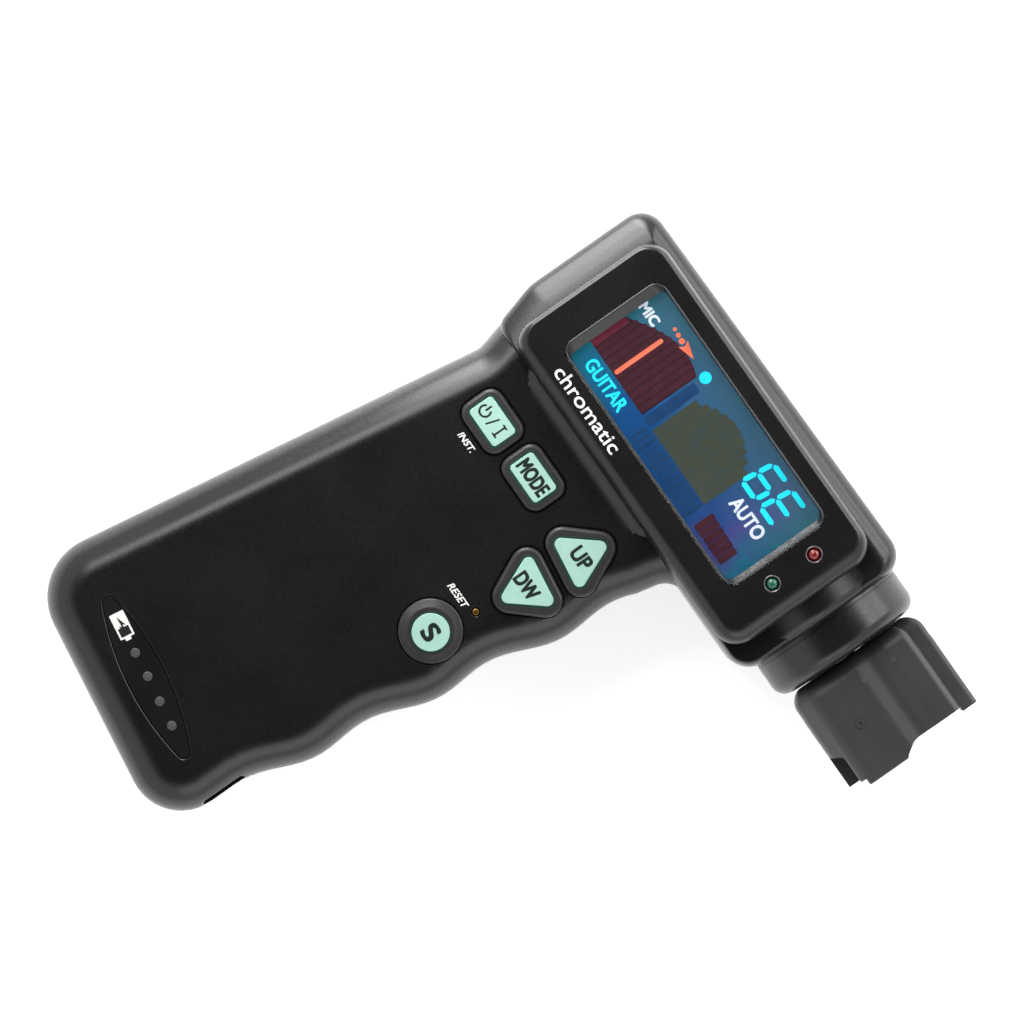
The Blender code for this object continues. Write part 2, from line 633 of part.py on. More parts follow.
def build_grip_inside():
    """Main board, key mat, reset switch, microphone, cell, gauge and charging socket."""
    board_top = BOARD_Z + BOARD_THICK
    board = rounded([(9.6, -22.4, 1.5), (11.8, -38.0, 0.0), (11.8, -50.0, 0.0), (2.6, -60.0, 0.0),
                     (2.6, -102.0, 2.0), (6.0, -107.4, 2.0), (33.8, -110.2, 2.0),
                     (32.2, -97.0, 0.0), (32.2, -88.6, 0.0), (40.2, -83.0, 0.0),
                     (50.4, -22.4, 1.5)])
    slab("main_board", [board], BOARD_Z, board_top, GREEN_BOARD)
    mat = rounded([(10.0, -22.8, 1.5), (10.4, -35.0, 1.0), (33.0, -38.0, 0.0), (31.5, -66.0, 1.5),
                   (43.4, -66.0, 1.5), (50.0, -22.8, 1.5)])
    hole = rectangle(RESET[0] - 2.3, RESET[1] - 2.3, RESET[0] + 2.3, RESET[1] + 2.3, 0.4)
    mat_low = board_top + GAP
    slab("key_mat", [mat, hole], mat_low, mat_low + MAT_THICK, GREY_ABS)
    block("reset_switch", (RESET[0] - SWITCH_HALF, RESET[1] - SWITCH_HALF, mat_low),
          (RESET[0] + SWITCH_HALF, RESET[1] + SWITCH_HALF, SWITCH_TOP), STEEL)
    reset_axis = empty("reset_axis", (*RESET, 0.0), DATUM)
    start, end, radius = PLUNGER
    turned("reset_plunger", [(0, end), (radius, end), (radius, start), (0, start)], BRASS,
           reset_axis, steps=12)
    x, y, radius, top = MICROPHONE
    turned("microphone", [(0, top), (radius, top), (radius, mat_low), (0, mat_low)], STEEL, DATUM,
           steps=20, at=(x, y, 0.0))
    slab("gauge_window", [gauge_outline(GAP)], *GAUGE_WINDOW, CLEAR)
    radius, shoulder = GAUGE_LED
    for number, (x, y) in enumerate(GAUGE_LEDS, 1):
        turned(f"gauge_led_{number}", [(0, shoulder + 0.4), (radius, shoulder),
                                       (radius, mat_low), (0, mat_low)],
               WHITE, DATUM, steps=12, at=(x, y, 0.0))
    slab("charging_socket", [rectangle(-4.5, -1.7, 4.5, 1.7, 1.4),
                             rectangle(-4.0, -1.2, 4.0, 1.2, 1.0)], -SOCKET[1], SOCKET[1], STEEL)
    socket = bpy.data.objects["charging_socket"]
    socket.location = Vector((SOCKET[0], PORT_Y, PORT_Z)) * MM
    socket.rotation_euler = (math.radians(90.0), 0.0, math.radians(90.0))

    half = CELL_LENGTH / 2.0
    height, tip = TERMINAL
    cell = turned("battery_cell", [(0, half + height), (tip, half + height), (tip, half),
                                   (CELL_RADIUS, half), (CELL_RADIUS, -half), (0, -half)],
                  CELL_WRAP, DATUM, steps=28, at=CELL_MID)
    cell.rotation_euler = (math.radians(-90.0), 0.0, math.radians(CELL_TILT))
    x, y, z = CELL_MID
    wide, long = CELL_PAD
    pad = block("cell_pad", (x - wide, y - long, z + CELL_RADIUS + GAP),
                (x + wide, y + long, BOARD_Z - GAP), FOAM)
    pad.rotation_euler = (0.0, 0.0, math.radians(CELL_TILT))

# --- Drive ---------------------------------------------------------------------------------


def tube(inner, start, end, outer):
    """Profile of a plain ring: the outer side listed top to bottom, then the bore."""
    return [(inner, end), (outer, end), (outer, start), (inner, start)]


def build_drive():
    """Motor, planetary gear set, output shaft, its bush and the winder, along the head axis."""
    turned("motor_can", tube(MOTOR_BORE, *MOTOR_CAN), STEEL, ring=True)
    start, end, radius = END_CAP
    turned("motor_end_cap", [(MOTOR_BORE, end), (radius, end), (radius, start), (3.0, start),
                             (3.0, start - 0.8), (MOTOR_BORE, start - 0.8)], GREY_ABS, ring=True)
    teeth_hole = gear_outline(RING_TEETH, RING_ADDENDUM, RING_DEDENDUM, -BACKLASH,
                              180.0 / RING_TEETH)
    case = circle(0, 0, GEARBOX_RADIUS, 40)
    slab("ring_gear", [case, teeth_hole], *RING_SPAN, GREY_ABS, DRIVE)
    slab("gearbox_back", [case, circle(0, 0, 2.8, 16)], *GEARBOX_BACK, GREY_ABS, DRIVE)
    slab("gearbox_front", [case, circle(0, 0, SHAFT[2] + 0.5, 20)], *GEARBOX_FRONT, GREY_ABS,
         DRIVE)

    sun = slab("motor_pinion", [gear_outline(SUN_TEETH, ADDENDUM, DEDENDUM, BACKLASH)],
               *SUN_SPAN, BRASS, DRIVE)
    start, end, radius = SPINDLE
    combine(sun, slab("motor_spindle", [circle(0, 0, radius, 16)], start, end, None, DRIVE),
            "UNION")

    distance = (SUN_TEETH + PLANET_TEETH) * GEAR_MODULE / 2.0
    start, end, radius = CARRIER
    carrier = slab("planet_carrier", [circle(0, 0, radius, 32), circle(0, 0, SHAFT[2] + 0.15, 20)],
                   start, end, STEEL, DRIVE)
    teeth = gear_outline(PLANET_TEETH, ADDENDUM, DEDENDUM, BACKLASH, 180.0 / PLANET_TEETH)
    pin_start, pin_end, pin_radius = PIN
    for number in range(1, PLANET_COUNT + 1):
        angle = 360.0 * (number - 1) / PLANET_COUNT
        x = distance * math.cos(math.radians(angle))
        y = distance * math.sin(math.radians(angle))
        hub = empty(f"planet_{number}_axis", (x, y, 0.0), DRIVE, (0.0, 0.0, angle))
        slab(f"planet_gear_{number}", [teeth, circle(0, 0, PLANET_BORE, 14)], *PLANET_SPAN,
             NYLON, hub)
        pin = slab(f"planet_pin_{number}", [circle(x, y, pin_radius, 14)], pin_start, pin_end,
                   None, DRIVE)
        combine(carrier, pin, "UNION")

    start, end, radius = SHAFT
    output = turned("output_shaft", [(0, end), (radius, end), (radius, start), (0, start)],
                    STEEL, steps=24)
    bore_end, bore_start = HUB_BORE[0], HUB_BORE[0] - 12.0
    combine(output, turned("screw_bore", [(0, bore_end), (1.45, bore_end), (1.45, bore_start),
                                          (0, bore_start)], steps=12))
    start, end, bush = BUSH
    flange_end, flange = BUSH_FLANGE
    bore = radius + RUNNING_FIT
    turned("shaft_bush", [(bore, end), (bush, end), (bush, flange_end), (flange, flange_end),
                          (flange, start), (bore, start)], BRONZE, ring=True, steps=24)
    turned("thrust_washer", tube(radius + GAP, *THRUST_WASHER), NYLON, ring=True, steps=24)


def cup_section():
    """One half of the winder's two-fold section, then the same half turned by 180 degrees.

    Each half goes from the strip at +y, over the face's two lobes, to the side at -y.
    """
    half = [(CUP_HALF_WIDTH, 0.0), (CUP_HALF_WIDTH - 0.2, 3.2), (10.2, 3.4), (10.0, 7.4),
            (9.0, 8.7), (7.0, 9.2), (4.4, 8.8), (2.4, 8.0), (0.4, 8.7), (-2.0, 9.1),
            (-4.2, 8.8), (-6.4, 9.1), (-9.0, 8.9), (-11.4, 7.6), (-12.9, 5.2)]
    turned_half = [(-y, -z) for y, z in half]
    # Drive frame: local x is -z, local y is y.
    return [(-z, y) for y, z in half + turned_half]


def build_winder():
    """The peg-winder cup, its pocket, its cut mouth and the screw that holds it."""
    start, end = CUP
    past = end + 2.0
    cup = slab("winder_cup", [cup_section()], start, end, WINDER_ABS, DRIVE)
    dome = [(0, end + 1.0), (CUP_ROUND, end + 1.0)]
    for step in range(5):
        angle = math.radians(22.5 * step)
        dome.append((CUP_ROUND - CUP_SHOULDER + CUP_SHOULDER * math.cos(angle),
                     start + CUP_SHOULDER - CUP_SHOULDER * math.sin(angle)))
    dome.append((0, start))
    combine(cup, turned("cup_dome", dome, steps=40), "INTERSECT")
    pocket_y, pocket_z = POCKET_HALF
    pocket = slab("peg_pocket", [rectangle(-pocket_z, -pocket_y, pocket_z, pocket_y, 2.0)],
                  CUP_FLOOR, past, None, DRIVE)
    combine(cup, pocket)
    for side, where in ((1.0, "front"), (-1.0, "rear")):
        lip = block("mouth_step_" + where, (-12.0, -0.8, MOUTH_STEP), (-5.2, 12.0, past), None,
                    DRIVE)
        notch = block("side_notch_" + where, (-2.6, -16.0, SIDE_NOTCH[0]),
                      (2.6, -11.6, SIDE_NOTCH[1]), None, DRIVE)
        for cutter in (lip, notch):
            cutter.location.x *= side
            cutter.location.y *= side
            combine(cup, cutter)
    bore_end, bore = HUB_BORE
    combine(cup, turned("hub_bore", [(0, bore_end), (bore, bore_end), (bore, start - 4.0),
                                     (0, start - 4.0)], steps=24))
    head = CUP_FLOOR + 1.4
    turned("winder_screw", [(0, head), (2.5, head), (2.5, head - 1.7), (1.15, head - 1.7),
                            (1.15, head - 8.9), (0, head - 8.9)], STEEL, steps=16)


build_housing()
build_nose()
build_display()
build_keys()
build_grip_inside()
build_drive()
build_winder()

for part in PARTS.objects:
    if part.type == "MESH":
        part.data.shade_smooth()
        part.data.set_sharp_from_angle(angle=math.radians(35.0))
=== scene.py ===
import math

import bmesh
import bpy
from bpy.props import FloatProperty, IntProperty, PointerProperty, StringProperty
from mathutils import Matrix, Vector


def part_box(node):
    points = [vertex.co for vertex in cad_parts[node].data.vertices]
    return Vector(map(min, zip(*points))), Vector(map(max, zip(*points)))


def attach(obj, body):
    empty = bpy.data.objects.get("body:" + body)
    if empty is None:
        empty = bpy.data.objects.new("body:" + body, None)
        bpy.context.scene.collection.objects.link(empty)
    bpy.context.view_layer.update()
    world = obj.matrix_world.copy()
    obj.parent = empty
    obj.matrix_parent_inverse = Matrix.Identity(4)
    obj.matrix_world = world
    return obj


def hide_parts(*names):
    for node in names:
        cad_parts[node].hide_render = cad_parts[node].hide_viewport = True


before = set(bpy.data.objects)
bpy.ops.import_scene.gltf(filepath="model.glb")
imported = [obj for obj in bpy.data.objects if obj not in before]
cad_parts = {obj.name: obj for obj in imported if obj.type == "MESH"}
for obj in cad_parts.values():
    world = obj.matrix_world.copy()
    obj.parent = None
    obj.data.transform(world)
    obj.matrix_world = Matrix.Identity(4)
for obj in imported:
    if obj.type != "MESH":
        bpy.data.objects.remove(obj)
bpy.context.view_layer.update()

bl_info = {
    "name": "Peg-winding tuner",
    "version": (1, 0, 0),
    "blender": (4, 5, 0),
    "location": "View3D > Sidebar > Tuner",
    "description": "Dresses the frame of a hand-held, motor-driven guitar tuner",
    "category": "Object",
}

MM = 0.001

# --- Sizes in millimetres, in the design frame ---------------------------------------------
# x runs from the back of the head to the winder, y from the winder's axis away from the grip,
# z from the flat back to the face. The nose collar's box gives the frame's place.

COLLAR_START = 77.2
COLLAR_END = 84.3
COLLAR_RADIUS = 14.65
COLLAR_SEAT = 76.25        # the collar sits in a shallow seat in the head's nose
AXIS_Y = -0.3
collar_low, collar_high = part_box("nose_collar")
AXIS_Z = (collar_low.z + collar_high.z) / 2.0 / MM
ORIGIN = Vector((collar_low.x - COLLAR_START * MM,
                 (collar_low.y + collar_high.y) / 2.0 - AXIS_Y * MM, 0.0))

GRIP_TOP = 28.4
HEAD_TOP = 29.4
BLOCK_TOP = 34.5
SPLIT_Z = 14.9
SPLIT_GAP = 0.16           # the hairline between the shells
WALL = 2.0
CORE_Z = 24.0              # inside the head, where forms joined to its face start
GRIP_BACK_EDGE = 5.2       # rounding round the back of the grip
HEAD_BACK_EDGE = 3.4
HEAD_EDGE = 4.3
BLOCK_FOOT_EDGE = 0.2
INNER_EDGE_SHARE = 0.8     # share of the wall by which an inner edge's radius shrinks
BODY_REACH = 150.0         # a cutter that halves the body reaches this far

BACK_RAKE = 0.1612         # dx/dy of the grip's straight back
BACK_X = -9.05             # its x at BACK_Y
BACK_Y = -98.0
FRONT_RAKE = 0.1638        # dx/dy of the line that the finger grooves ride on
FRONT_X = 45.69            # its x at FRONT_Y
FRONT_Y = -81.0
FINGER_CREST = -88.0
FINGER_TOP = -25.0
FINGER_BOTTOM = -104.5
HEEL_Y = -110.6
BUTT_SLOPE = -0.1403
BUTT_Y = -112.2

NOSE_CROWN = 10.5          # half width of the soft crown between the block and the collar
NOSE_RISE = 2.7            # its height above the head

NOSE_STATIONS = ((71.0, 0.0), (74.6, 0.0), (75.4, -0.15), (76.0, -0.5), (76.5, -1.1),
                 (76.85, -2.4))        # x along the crown, and its lift there
NOSE_BORE = (68.0, 81.0, 6.4)          # start, end and radius of the output shaft's bore

COVE_START = 5.4           # the hollow ramp below the block, along x
COVE_END = 53.0
COVE_TAPER = 9.0           # length over which its ends fade
COVE_DROP = 4.5            # and how far they sink
COVE_LOW = -21.3
COVE_HIGH = -17.95
COVE_ROOT = -16.0
COVE_RADIUS = 4.6

WINDOW = (11.2, -11.6, 63.0, 9.8)      # x0, y0, x1, y1
WINDOW_CORNER = 2.5
LCD_TOP = 31.7
LENS_TOP = 33.2

LCD_AREA = (12.3, -11.2, 62.2, 9.5)

STATUS_X = 66.3
STATUS_RADIUS = 1.2
STATUS_LEDS = {"led_red": 4.1, "led_green": -4.8}

GAUGE_CENTRE = (17.0, -103.8)
GAUGE_TILT = -8.5
GAUGE_HALF_LENGTH = 15.9
GAUGE_HALF_WIDTH = 3.5
GAUGE_TIP = 1.25           # radius of its tips
GAUGE_LEDS = ((12.4, -102.9), (17.0, -103.5), (21.8, -104.3), (26.5, -105.0))

PORT_Y = -104.4
PORT_MOUTH = (4.6, 1.9)    # half width and half height
PORT_START = 31.0
PORT_OUTSIDE = 50.0        # past the grip's front
PORT_RECESS_X = 40.6
KEY_GAP = 0.16
KEY_TOP = GRIP_TOP + 0.72  # top of a key's rubber body
SAVE_KEY = (38.9, -58.4)
SAVE_RADIUS = 5.75
RESET = (40.7, -50.0)
RESET_BORE = 0.85
FACE_CUT_FLOOR = 22.0      # where the cutters through the grip's face start
BLOCK_CUT_FLOOR = 26.0     # and those through the display block
CUP_START = 84.7
CUP_LINE = 90.0            # x of the faint mould line round the cup, and of the pocket's floor
CUP_LINE_STEP = 0.06
CUP_END = 105.38
CUP_REACH = (12.0, 6.2)     # how strongly the shoulder draws the section in, by y and z
GRIP_MARGIN = 0.1          # how far the smooth outlines stay inside the outer box
HEAD_MARGIN = 0.02
SCREWS = ((7.0, 11.6), (70.6, 11.9), (70.6, -13.8), (8.6, -44.0), (35.4, -92.0), (-0.8, -93.0))


class TunerSettings(bpy.types.PropertyGroup):
    """Sizes and colours that a user may want to change."""

    grip_edge: FloatProperty(name="Grip edge", description="Radius of the grip's soft edge, mm",
                             default=6.6, min=2.0, max=8.0)
    block_edge: FloatProperty(name="Block edge", description="Radius of the display block, mm",
                              default=3.0, min=0.5, max=4.0)
    finger_depth: FloatProperty(name="Finger depth", description="Half depth of the grooves, mm",
                                default=1.0, min=0.0, max=1.5)
    finger_pitch: FloatProperty(name="Finger pitch", description="Distance between grooves, mm",
                                default=23.5, min=18.0, max=28.0)
    round_segments: IntProperty(name="Round segments", description="Steps round a turned piece",
                                default=128, min=32, max=256)
    grain: FloatProperty(name="Grain", description="Depth of the moulded spark grain, mm",
                         default=0.007, min=0.0, max=0.2)
    shell_colour: StringProperty(name="Shell", description="Shell plastic, sRGB hex",
                                 default="141313")
    winder_colour: StringProperty(name="Winder", description="Winder plastic, sRGB hex",
                                  default="303031")
    rubber_colour: StringProperty(name="Key rubber", description="Key body, sRGB hex",
                                  default="343233")
    mint_colour: StringProperty(name="Mint", description="Key inlay, sRGB hex",
                                default="9FC6B9")


def settings():
    """The scene's tuner settings."""
    return bpy.context.scene.tuner

# --- Outlines ------------------------------------------------------------------------------


def at(x, y, z=0.0):
    """A point of the design frame in the part's own frame, in metres."""
    return ORIGIN + Vector((x, y, z)) * MM


def edge_normal(first, second):
    """The inward unit normal of an anticlockwise outline's side."""
    run = (Vector(second[:2]) - Vector(first[:2])).normalized()
    return Vector((-run.y, run.x))


def drawn_in(corners, inset, weights=None):
    """Corners (x, y, radius, pieces) of an anticlockwise outline, each side moved inwards."""
    count = len(corners)
    moved = []
    for index, (x, y, radius, pieces) in enumerate(corners):
        back = edge_normal(corners[index - 1], corners[index])
        ahead = edge_normal(corners[index], corners[(index + 1) % count])
        shift_back = inset * (weights[index - 1] if weights else 1.0)
        shift_ahead = inset * (weights[index] if weights else 1.0)
        cross = back.x * ahead.y - back.y * ahead.x
        if abs(cross) < 0.02:
            step = (back + ahead).normalized() * (shift_back + shift_ahead) / 2.0
        else:
            step = Vector((shift_back * ahead.y - shift_ahead * back.y,
                           back.x * shift_ahead - ahead.x * shift_back)) / cross
        if radius > 0.0:
            change = (shift_back + shift_ahead) / 2.0
            radius = max(0.05, radius - change if cross > 0.0 else radius + change)
        moved.append((x + step.x, y + step.y, radius, pieces))
    return moved


def traced(corners):
    """The points of an outline, each corner with a radius turned as an arc."""
    points = []
    count = len(corners)
    for index, (x, y, radius, pieces) in enumerate(corners):
        here = Vector((x, y))
        if radius <= 0.0:
            points.append((x, y))
            continue
        back = (Vector(corners[index - 1][:2]) - here).normalized()
        ahead = (Vector(corners[(index + 1) % count][:2]) - here).normalized()
        half = back.angle(ahead) / 2.0
        centre = here + (back + ahead).normalized() * radius / math.sin(half)
        start = here + back * radius / math.tan(half) - centre
        sweep = math.pi - 2.0 * half
        turn = 1.0 if back.x * ahead.y - back.y * ahead.x < 0.0 else -1.0
        for piece_number in range(pieces + 1):
            spin = Matrix.Rotation(turn * sweep * piece_number / pieces, 2)
            points.append(tuple(centre + spin @ start))
    return points


def box_corners(x0, y0, x1, y1, radius, pieces=6):
    """Corners of a rectangle, all with one radius."""
    return [(x0, y0, radius, pieces), (x1, y0, radius, pieces),
            (x1, y1, radius, pieces), (x0, y1, radius, pieces)]


def round_outline(x, y, radius, sides=48):
    """A circle as a polygon."""
    angles = [2.0 * math.pi * side / sides for side in range(sides)]
    return [(x + radius * math.cos(angle), y + radius * math.sin(angle)) for angle in angles]


def triangle_corners(half_width, height, radius, flip=False):
    """A triangle on its base with round corners, centred on its middle height."""
    centres = [Vector((radius - half_width, radius - height / 2.0)),
               Vector((half_width - radius, radius - height / 2.0)),
               Vector((0.0, height / 2.0 - radius))]
    sign = -1.0 if flip else 1.0
    corners = []
    for index, centre in enumerate(centres):
        back = (centres[index - 1] - centre).normalized()
        ahead = (centres[(index + 1) % 3] - centre).normalized()
        corner = centre - (back + ahead).normalized() * radius / math.sin(back.angle(ahead) / 2.0)
        corners.append((sign * corner.x, sign * corner.y, radius, 10))
    return corners


def turned_by(points, centre, degrees):
    """An outline turned about its own origin and carried to a centre."""
    spin = Matrix.Rotation(math.radians(degrees), 2)
    return [tuple(spin @ Vector(point) + Vector(centre)) for point in points]


def back_edge(y):
    """x of the grip's straight back."""
    return BACK_X + (y - BACK_Y) * BACK_RAKE


def front_edge(y):
    """The grip's front: a cosine of finger grooves on a raked line."""
    wave = math.cos(2.0 * math.pi * (y - FINGER_CREST) / settings().finger_pitch)
    return FRONT_X + (y - FRONT_Y) * FRONT_RAKE + settings().finger_depth * wave


def grip_corners():
    """The grip, from the heel round the toe, up the grooves and into the head."""
    toe_x = front_edge(FINGER_BOTTOM)
    corners = [(back_edge(HEEL_Y), HEEL_Y, 11.0, 12),
               (toe_x, BUTT_Y + BUTT_SLOPE * toe_x, 9.4, 12)]
    steps = 44
    span = (FINGER_TOP - FINGER_BOTTOM) / steps
    for step in range(1, steps + 1):
        y = FINGER_BOTTOM + step * span
        corners.append((front_edge(y), y, 0.0, 0))
    corners += [(55.9, -18.2, 4.2, 10), (73.0, -18.2, 0.5, 1), (73.0, 5.0, 0.5, 1),
                (-0.6, 5.0, 0.5, 1), (-0.6, -9.5, 8.0, 6), (back_edge(-22.9), -22.9, 6.0, 8)]
    return corners


HEAD_CORNERS = [(1.75, -18.4, 3.0, 8), (76.9, -18.4, 4.6, 8), (76.9, 17.0, 4.6, 8),
                (-0.8, 15.8, 4.6, 8), (-0.8, -9.5, 8.0, 6)]
HEAD_SOFTNESS = (0.2, 0.28, 1.1, 2.0, 2.0)     # width of the top rounding: low, nose, high, rear
BACK_SOFTNESS = (1.0, 0.4, 1.0, 1.0, 1.0)
BLOCK_CORNERS = [(4.5, -17.9, 4.6, 8), (72.3, -17.9, 4.6, 8), (72.3, 13.6, 4.6, 8),
                 (4.5, 13.6, 4.6, 8)]
BLOCK_SOFTNESS = (1.0, 1.3, 0.45, 0.35)


def gauge_outline(inset=0.0, steps=12):
    """The long leaf-shaped gauge window: two wide arcs joined by two round tips."""
    reach = GAUGE_HALF_LENGTH - GAUGE_TIP
    flank = ((reach ** 2 + GAUGE_HALF_WIDTH ** 2 - GAUGE_TIP ** 2)
             / 2.0 / (GAUGE_HALF_WIDTH - GAUGE_TIP))
    lean = math.atan2(reach, flank - GAUGE_HALF_WIDTH)
    drop = GAUGE_HALF_WIDTH - flank
    points = []
    for centre, radius, start, stop in (
            ((reach, 0.0), GAUGE_TIP, lean - math.pi / 2.0, math.pi / 2.0 - lean),
            ((0.0, drop), flank, math.pi / 2.0 - lean, math.pi / 2.0 + lean),
            ((-reach, 0.0), GAUGE_TIP, math.pi / 2.0 + lean, 1.5 * math.pi - lean),
            ((0.0, -drop), flank, 1.5 * math.pi - lean, 1.5 * math.pi + lean)):
        for step in range(steps):
            angle = start + (stop - start) * step / steps
            points.append((centre[0] + (radius - inset) * math.cos(angle),
                           centre[1] + (radius - inset) * math.sin(angle)))
    return turned_by(points, GAUGE_CENTRE, GAUGE_TILT)

# --- Mesh building -------------------------------------------------------------------------


def loft(rings):
    """A closed solid through rings of points: the end face is extruded from ring to ring."""
    work = bmesh.new()
    base = [work.verts.new(point) for point in rings[0]]
    end = work.faces.new(base)
    for ring in rings[1:]:
        end = bmesh.ops.extrude_discrete_faces(work, faces=[end])["faces"][0]
        for vert, point in zip(end.verts, ring):
            vert.co = point
    work.faces.new(list(reversed(base)))
    bmesh.ops.recalc_face_normals(work, faces=work.faces)
    return work


def lifted(outline, z):
    """An outline as points at one height."""
    return [at(x, y, z) for x, y in outline]


def slab(outline, z0, z1, edge=0.0, segments=3):
    """An outline between two heights, its upper rim rounded."""
    work = loft([lifted(outline, z0), lifted(outline, z1)])
    if edge > 0.0:
        top = at(0, 0, z1).z
        rim = [side for side in work.edges
               if all(abs(vert.co.z - top) < 1e-7 for vert in side.verts)]
        bmesh.ops.bevel(work, geom=rim, offset=edge * MM, segments=segments, profile=0.5,
                        affect="EDGES", material=-1, clamp_overlap=True)
    return work


def spun(profile, centre=None, axis=(1.0, 0.0, 0.0), segments=None, closed=False):
    """A profile of (radius, height) spun round an axis; by default the winder's axis."""
    work = bmesh.new()
    axis = Vector(axis)
    side = Vector((0.0, 1.0, 0.0)) if abs(axis.y) < 0.5 else Vector((1.0, 0.0, 0.0))
    origin = at(0.0, AXIS_Y, AXIS_Z) if centre is None else centre
    verts = [work.verts.new(origin + axis * height * MM + side * radius * MM)
             for radius, height in profile]
    pairs = list(zip(verts, verts[1:] + verts[:1] if closed else verts[1:]))
    edges = [work.edges.new(pair) for pair in pairs]
    bmesh.ops.spin(work, geom=verts + edges, cent=origin, axis=axis, angle=2.0 * math.pi,
                   steps=segments or settings().round_segments, use_merge=True,
                   use_duplicate=False, dvec=(0.0, 0.0, 0.0))
    bmesh.ops.remove_doubles(work, verts=work.verts, dist=0.000002)
    bmesh.ops.recalc_face_normals(work, faces=work.faces)
    return work


def arc(centre_radius, centre_height, radius, start, stop, steps=8):
    """Points of a profile's round stretch; angle 0 points outwards and 90 along the axis."""
    angles = [math.radians(start + (stop - start) * step / steps) for step in range(steps + 1)]
    return [(centre_radius + radius * math.cos(angle), centre_height + radius * math.sin(angle))
            for angle in angles]


def block(low, high, edge=0.0, segments=3):
    """A box between two corners of the design frame, its edges rounded."""
    work = bmesh.new()
    bmesh.ops.create_cube(work, size=1.0)
    a, b = at(*low), at(*high)
    bmesh.ops.scale(work, vec=b - a, verts=work.verts)
    bmesh.ops.translate(work, vec=(a + b) / 2.0, verts=work.verts)
    if edge > 0.0:
        bmesh.ops.bevel(work, geom=work.edges, offset=edge * MM, segments=segments, profile=0.5,
                        affect="EDGES", material=-1, clamp_overlap=True)
    return work


def joined(works):
    """Several separate solids in one mesh."""
    mesh = bpy.data.meshes.new("joined")
    total = bmesh.new()
    for work in works:
        work.to_mesh(mesh)
        work.free()
        total.from_mesh(mesh)
    bpy.data.meshes.remove(mesh)
    return total


def shaped(work, steps):
    """A solid after Boolean steps, each an operation and the solid that it uses."""
    mesh = bpy.data.meshes.new("shaped")
    work.to_mesh(mesh)
    work.free()
    for operation, tool in steps:
        base = bpy.data.objects.new("base", mesh)
        tool_mesh = bpy.data.meshes.new("tool")
        tool.to_mesh(tool_mesh)
        tool.free()
        other = bpy.data.objects.new("tool", tool_mesh)
        for item in (base, other):
            bpy.context.scene.collection.objects.link(item)
        boolean = base.modifiers.new("step", "BOOLEAN")
        boolean.operation = operation
        boolean.object = other
        boolean.solver = "EXACT"
        graph = bpy.context.evaluated_depsgraph_get()
        result = bpy.data.meshes.new_from_object(base.evaluated_get(graph))
        for item in (base, other):
            bpy.data.objects.remove(item, do_unlink=True)
        for used in (mesh, tool_mesh):
            bpy.data.meshes.remove(used)
        mesh = result
    work = bmesh.new()
    work.from_mesh(mesh)
    bpy.data.meshes.remove(mesh)
    bmesh.ops.remove_doubles(work, verts=work.verts, dist=0.000002)
    bmesh.ops.dissolve_degenerate(work, dist=0.000001, edges=work.edges)
    return work


def piece(name, work, look, body="housing", replaces=(), sharp=32.0, flat=True):
    """Finish a piece: its object, smooth shading, material, body and stand-in nodes."""
    mesh = bpy.data.meshes.new(name)
    work.to_mesh(mesh)
    work.free()
    mesh.materials.clear()
    mesh.materials.append(look)
    mesh.shade_smooth()
    mesh.set_sharp_from_angle(angle=math.radians(sharp))
    item = bpy.data.objects.new(name, mesh)
    bpy.context.scene.collection.objects.link(item)
    if flat:
        weighted = item.modifiers.new("even_faces", "WEIGHTED_NORMAL")
        weighted.keep_sharp = True
    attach(item, body)
    if replaces:
        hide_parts(*replaces)
    return item


def lettering(text, x, y, z, height, width, thick=0.03, slant=0.0, bold=0.0):
    """Generic lettering as a thin solid: its middle, cap height, width and added weight."""
    curve = bpy.data.curves.new("letters", "FONT")
    curve.body = text
    curve.size = 1.0
    curve.align_x = "CENTER"
    curve.align_y = "CENTER"
    curve.extrude = 0.02
    curve.shear = slant
    curve.resolution_u = 6
    item = bpy.data.objects.new("letters", curve)
    bpy.context.scene.collection.objects.link(item)
    graph = bpy.context.evaluated_depsgraph_get()
    mesh = bpy.data.meshes.new_from_object(item.evaluated_get(graph))
    bpy.data.objects.remove(item, do_unlink=True)
    bpy.data.curves.remove(curve)
    work = bmesh.new()
    work.from_mesh(mesh)
    bpy.data.meshes.remove(mesh)
    bmesh.ops.remove_doubles(work, verts=work.verts, dist=0.00001)
    low = [min(vert.co[k] for vert in work.verts) for k in range(3)]
    high = [max(vert.co[k] for vert in work.verts) for k in range(3)]
    size = (width, height, thick)
    place = at(x, y, z)
    for vert in work.verts:
        for k in range(3):
            share = (vert.co[k] - low[k]) / (high[k] - low[k]) - (0.0 if k == 2 else 0.5)
            vert.co[k] = place[k] + share * size[k] * MM
    bmesh.ops.recalc_face_normals(work, faces=work.faces)
    if bold == 0.0:
        return work
    copies = []
    for number, (across, up) in enumerate(((1, 1), (-1, 1), (-1, -1), (1, -1), (0, 0))):
        copy = work.copy()
        bmesh.ops.translate(copy, verts=copy.verts,
                            vec=Vector((across * bold, up * bold, number * 0.001)) * MM)
        copies.append(copy)
    work.free()
    return joined(copies)

# --- Materials -----------------------------------------------------------------------------


def linear(hex_colour, alpha=1.0):
    """An sRGB hex colour as linear values."""
    shares = [int(hex_colour[k:k + 2], 16) / 255.0 for k in (0, 2, 4)]
    return (*[c / 12.92 if c <= 0.04045 else ((c + 0.055) / 1.055) ** 2.4 for c in shares], alpha)


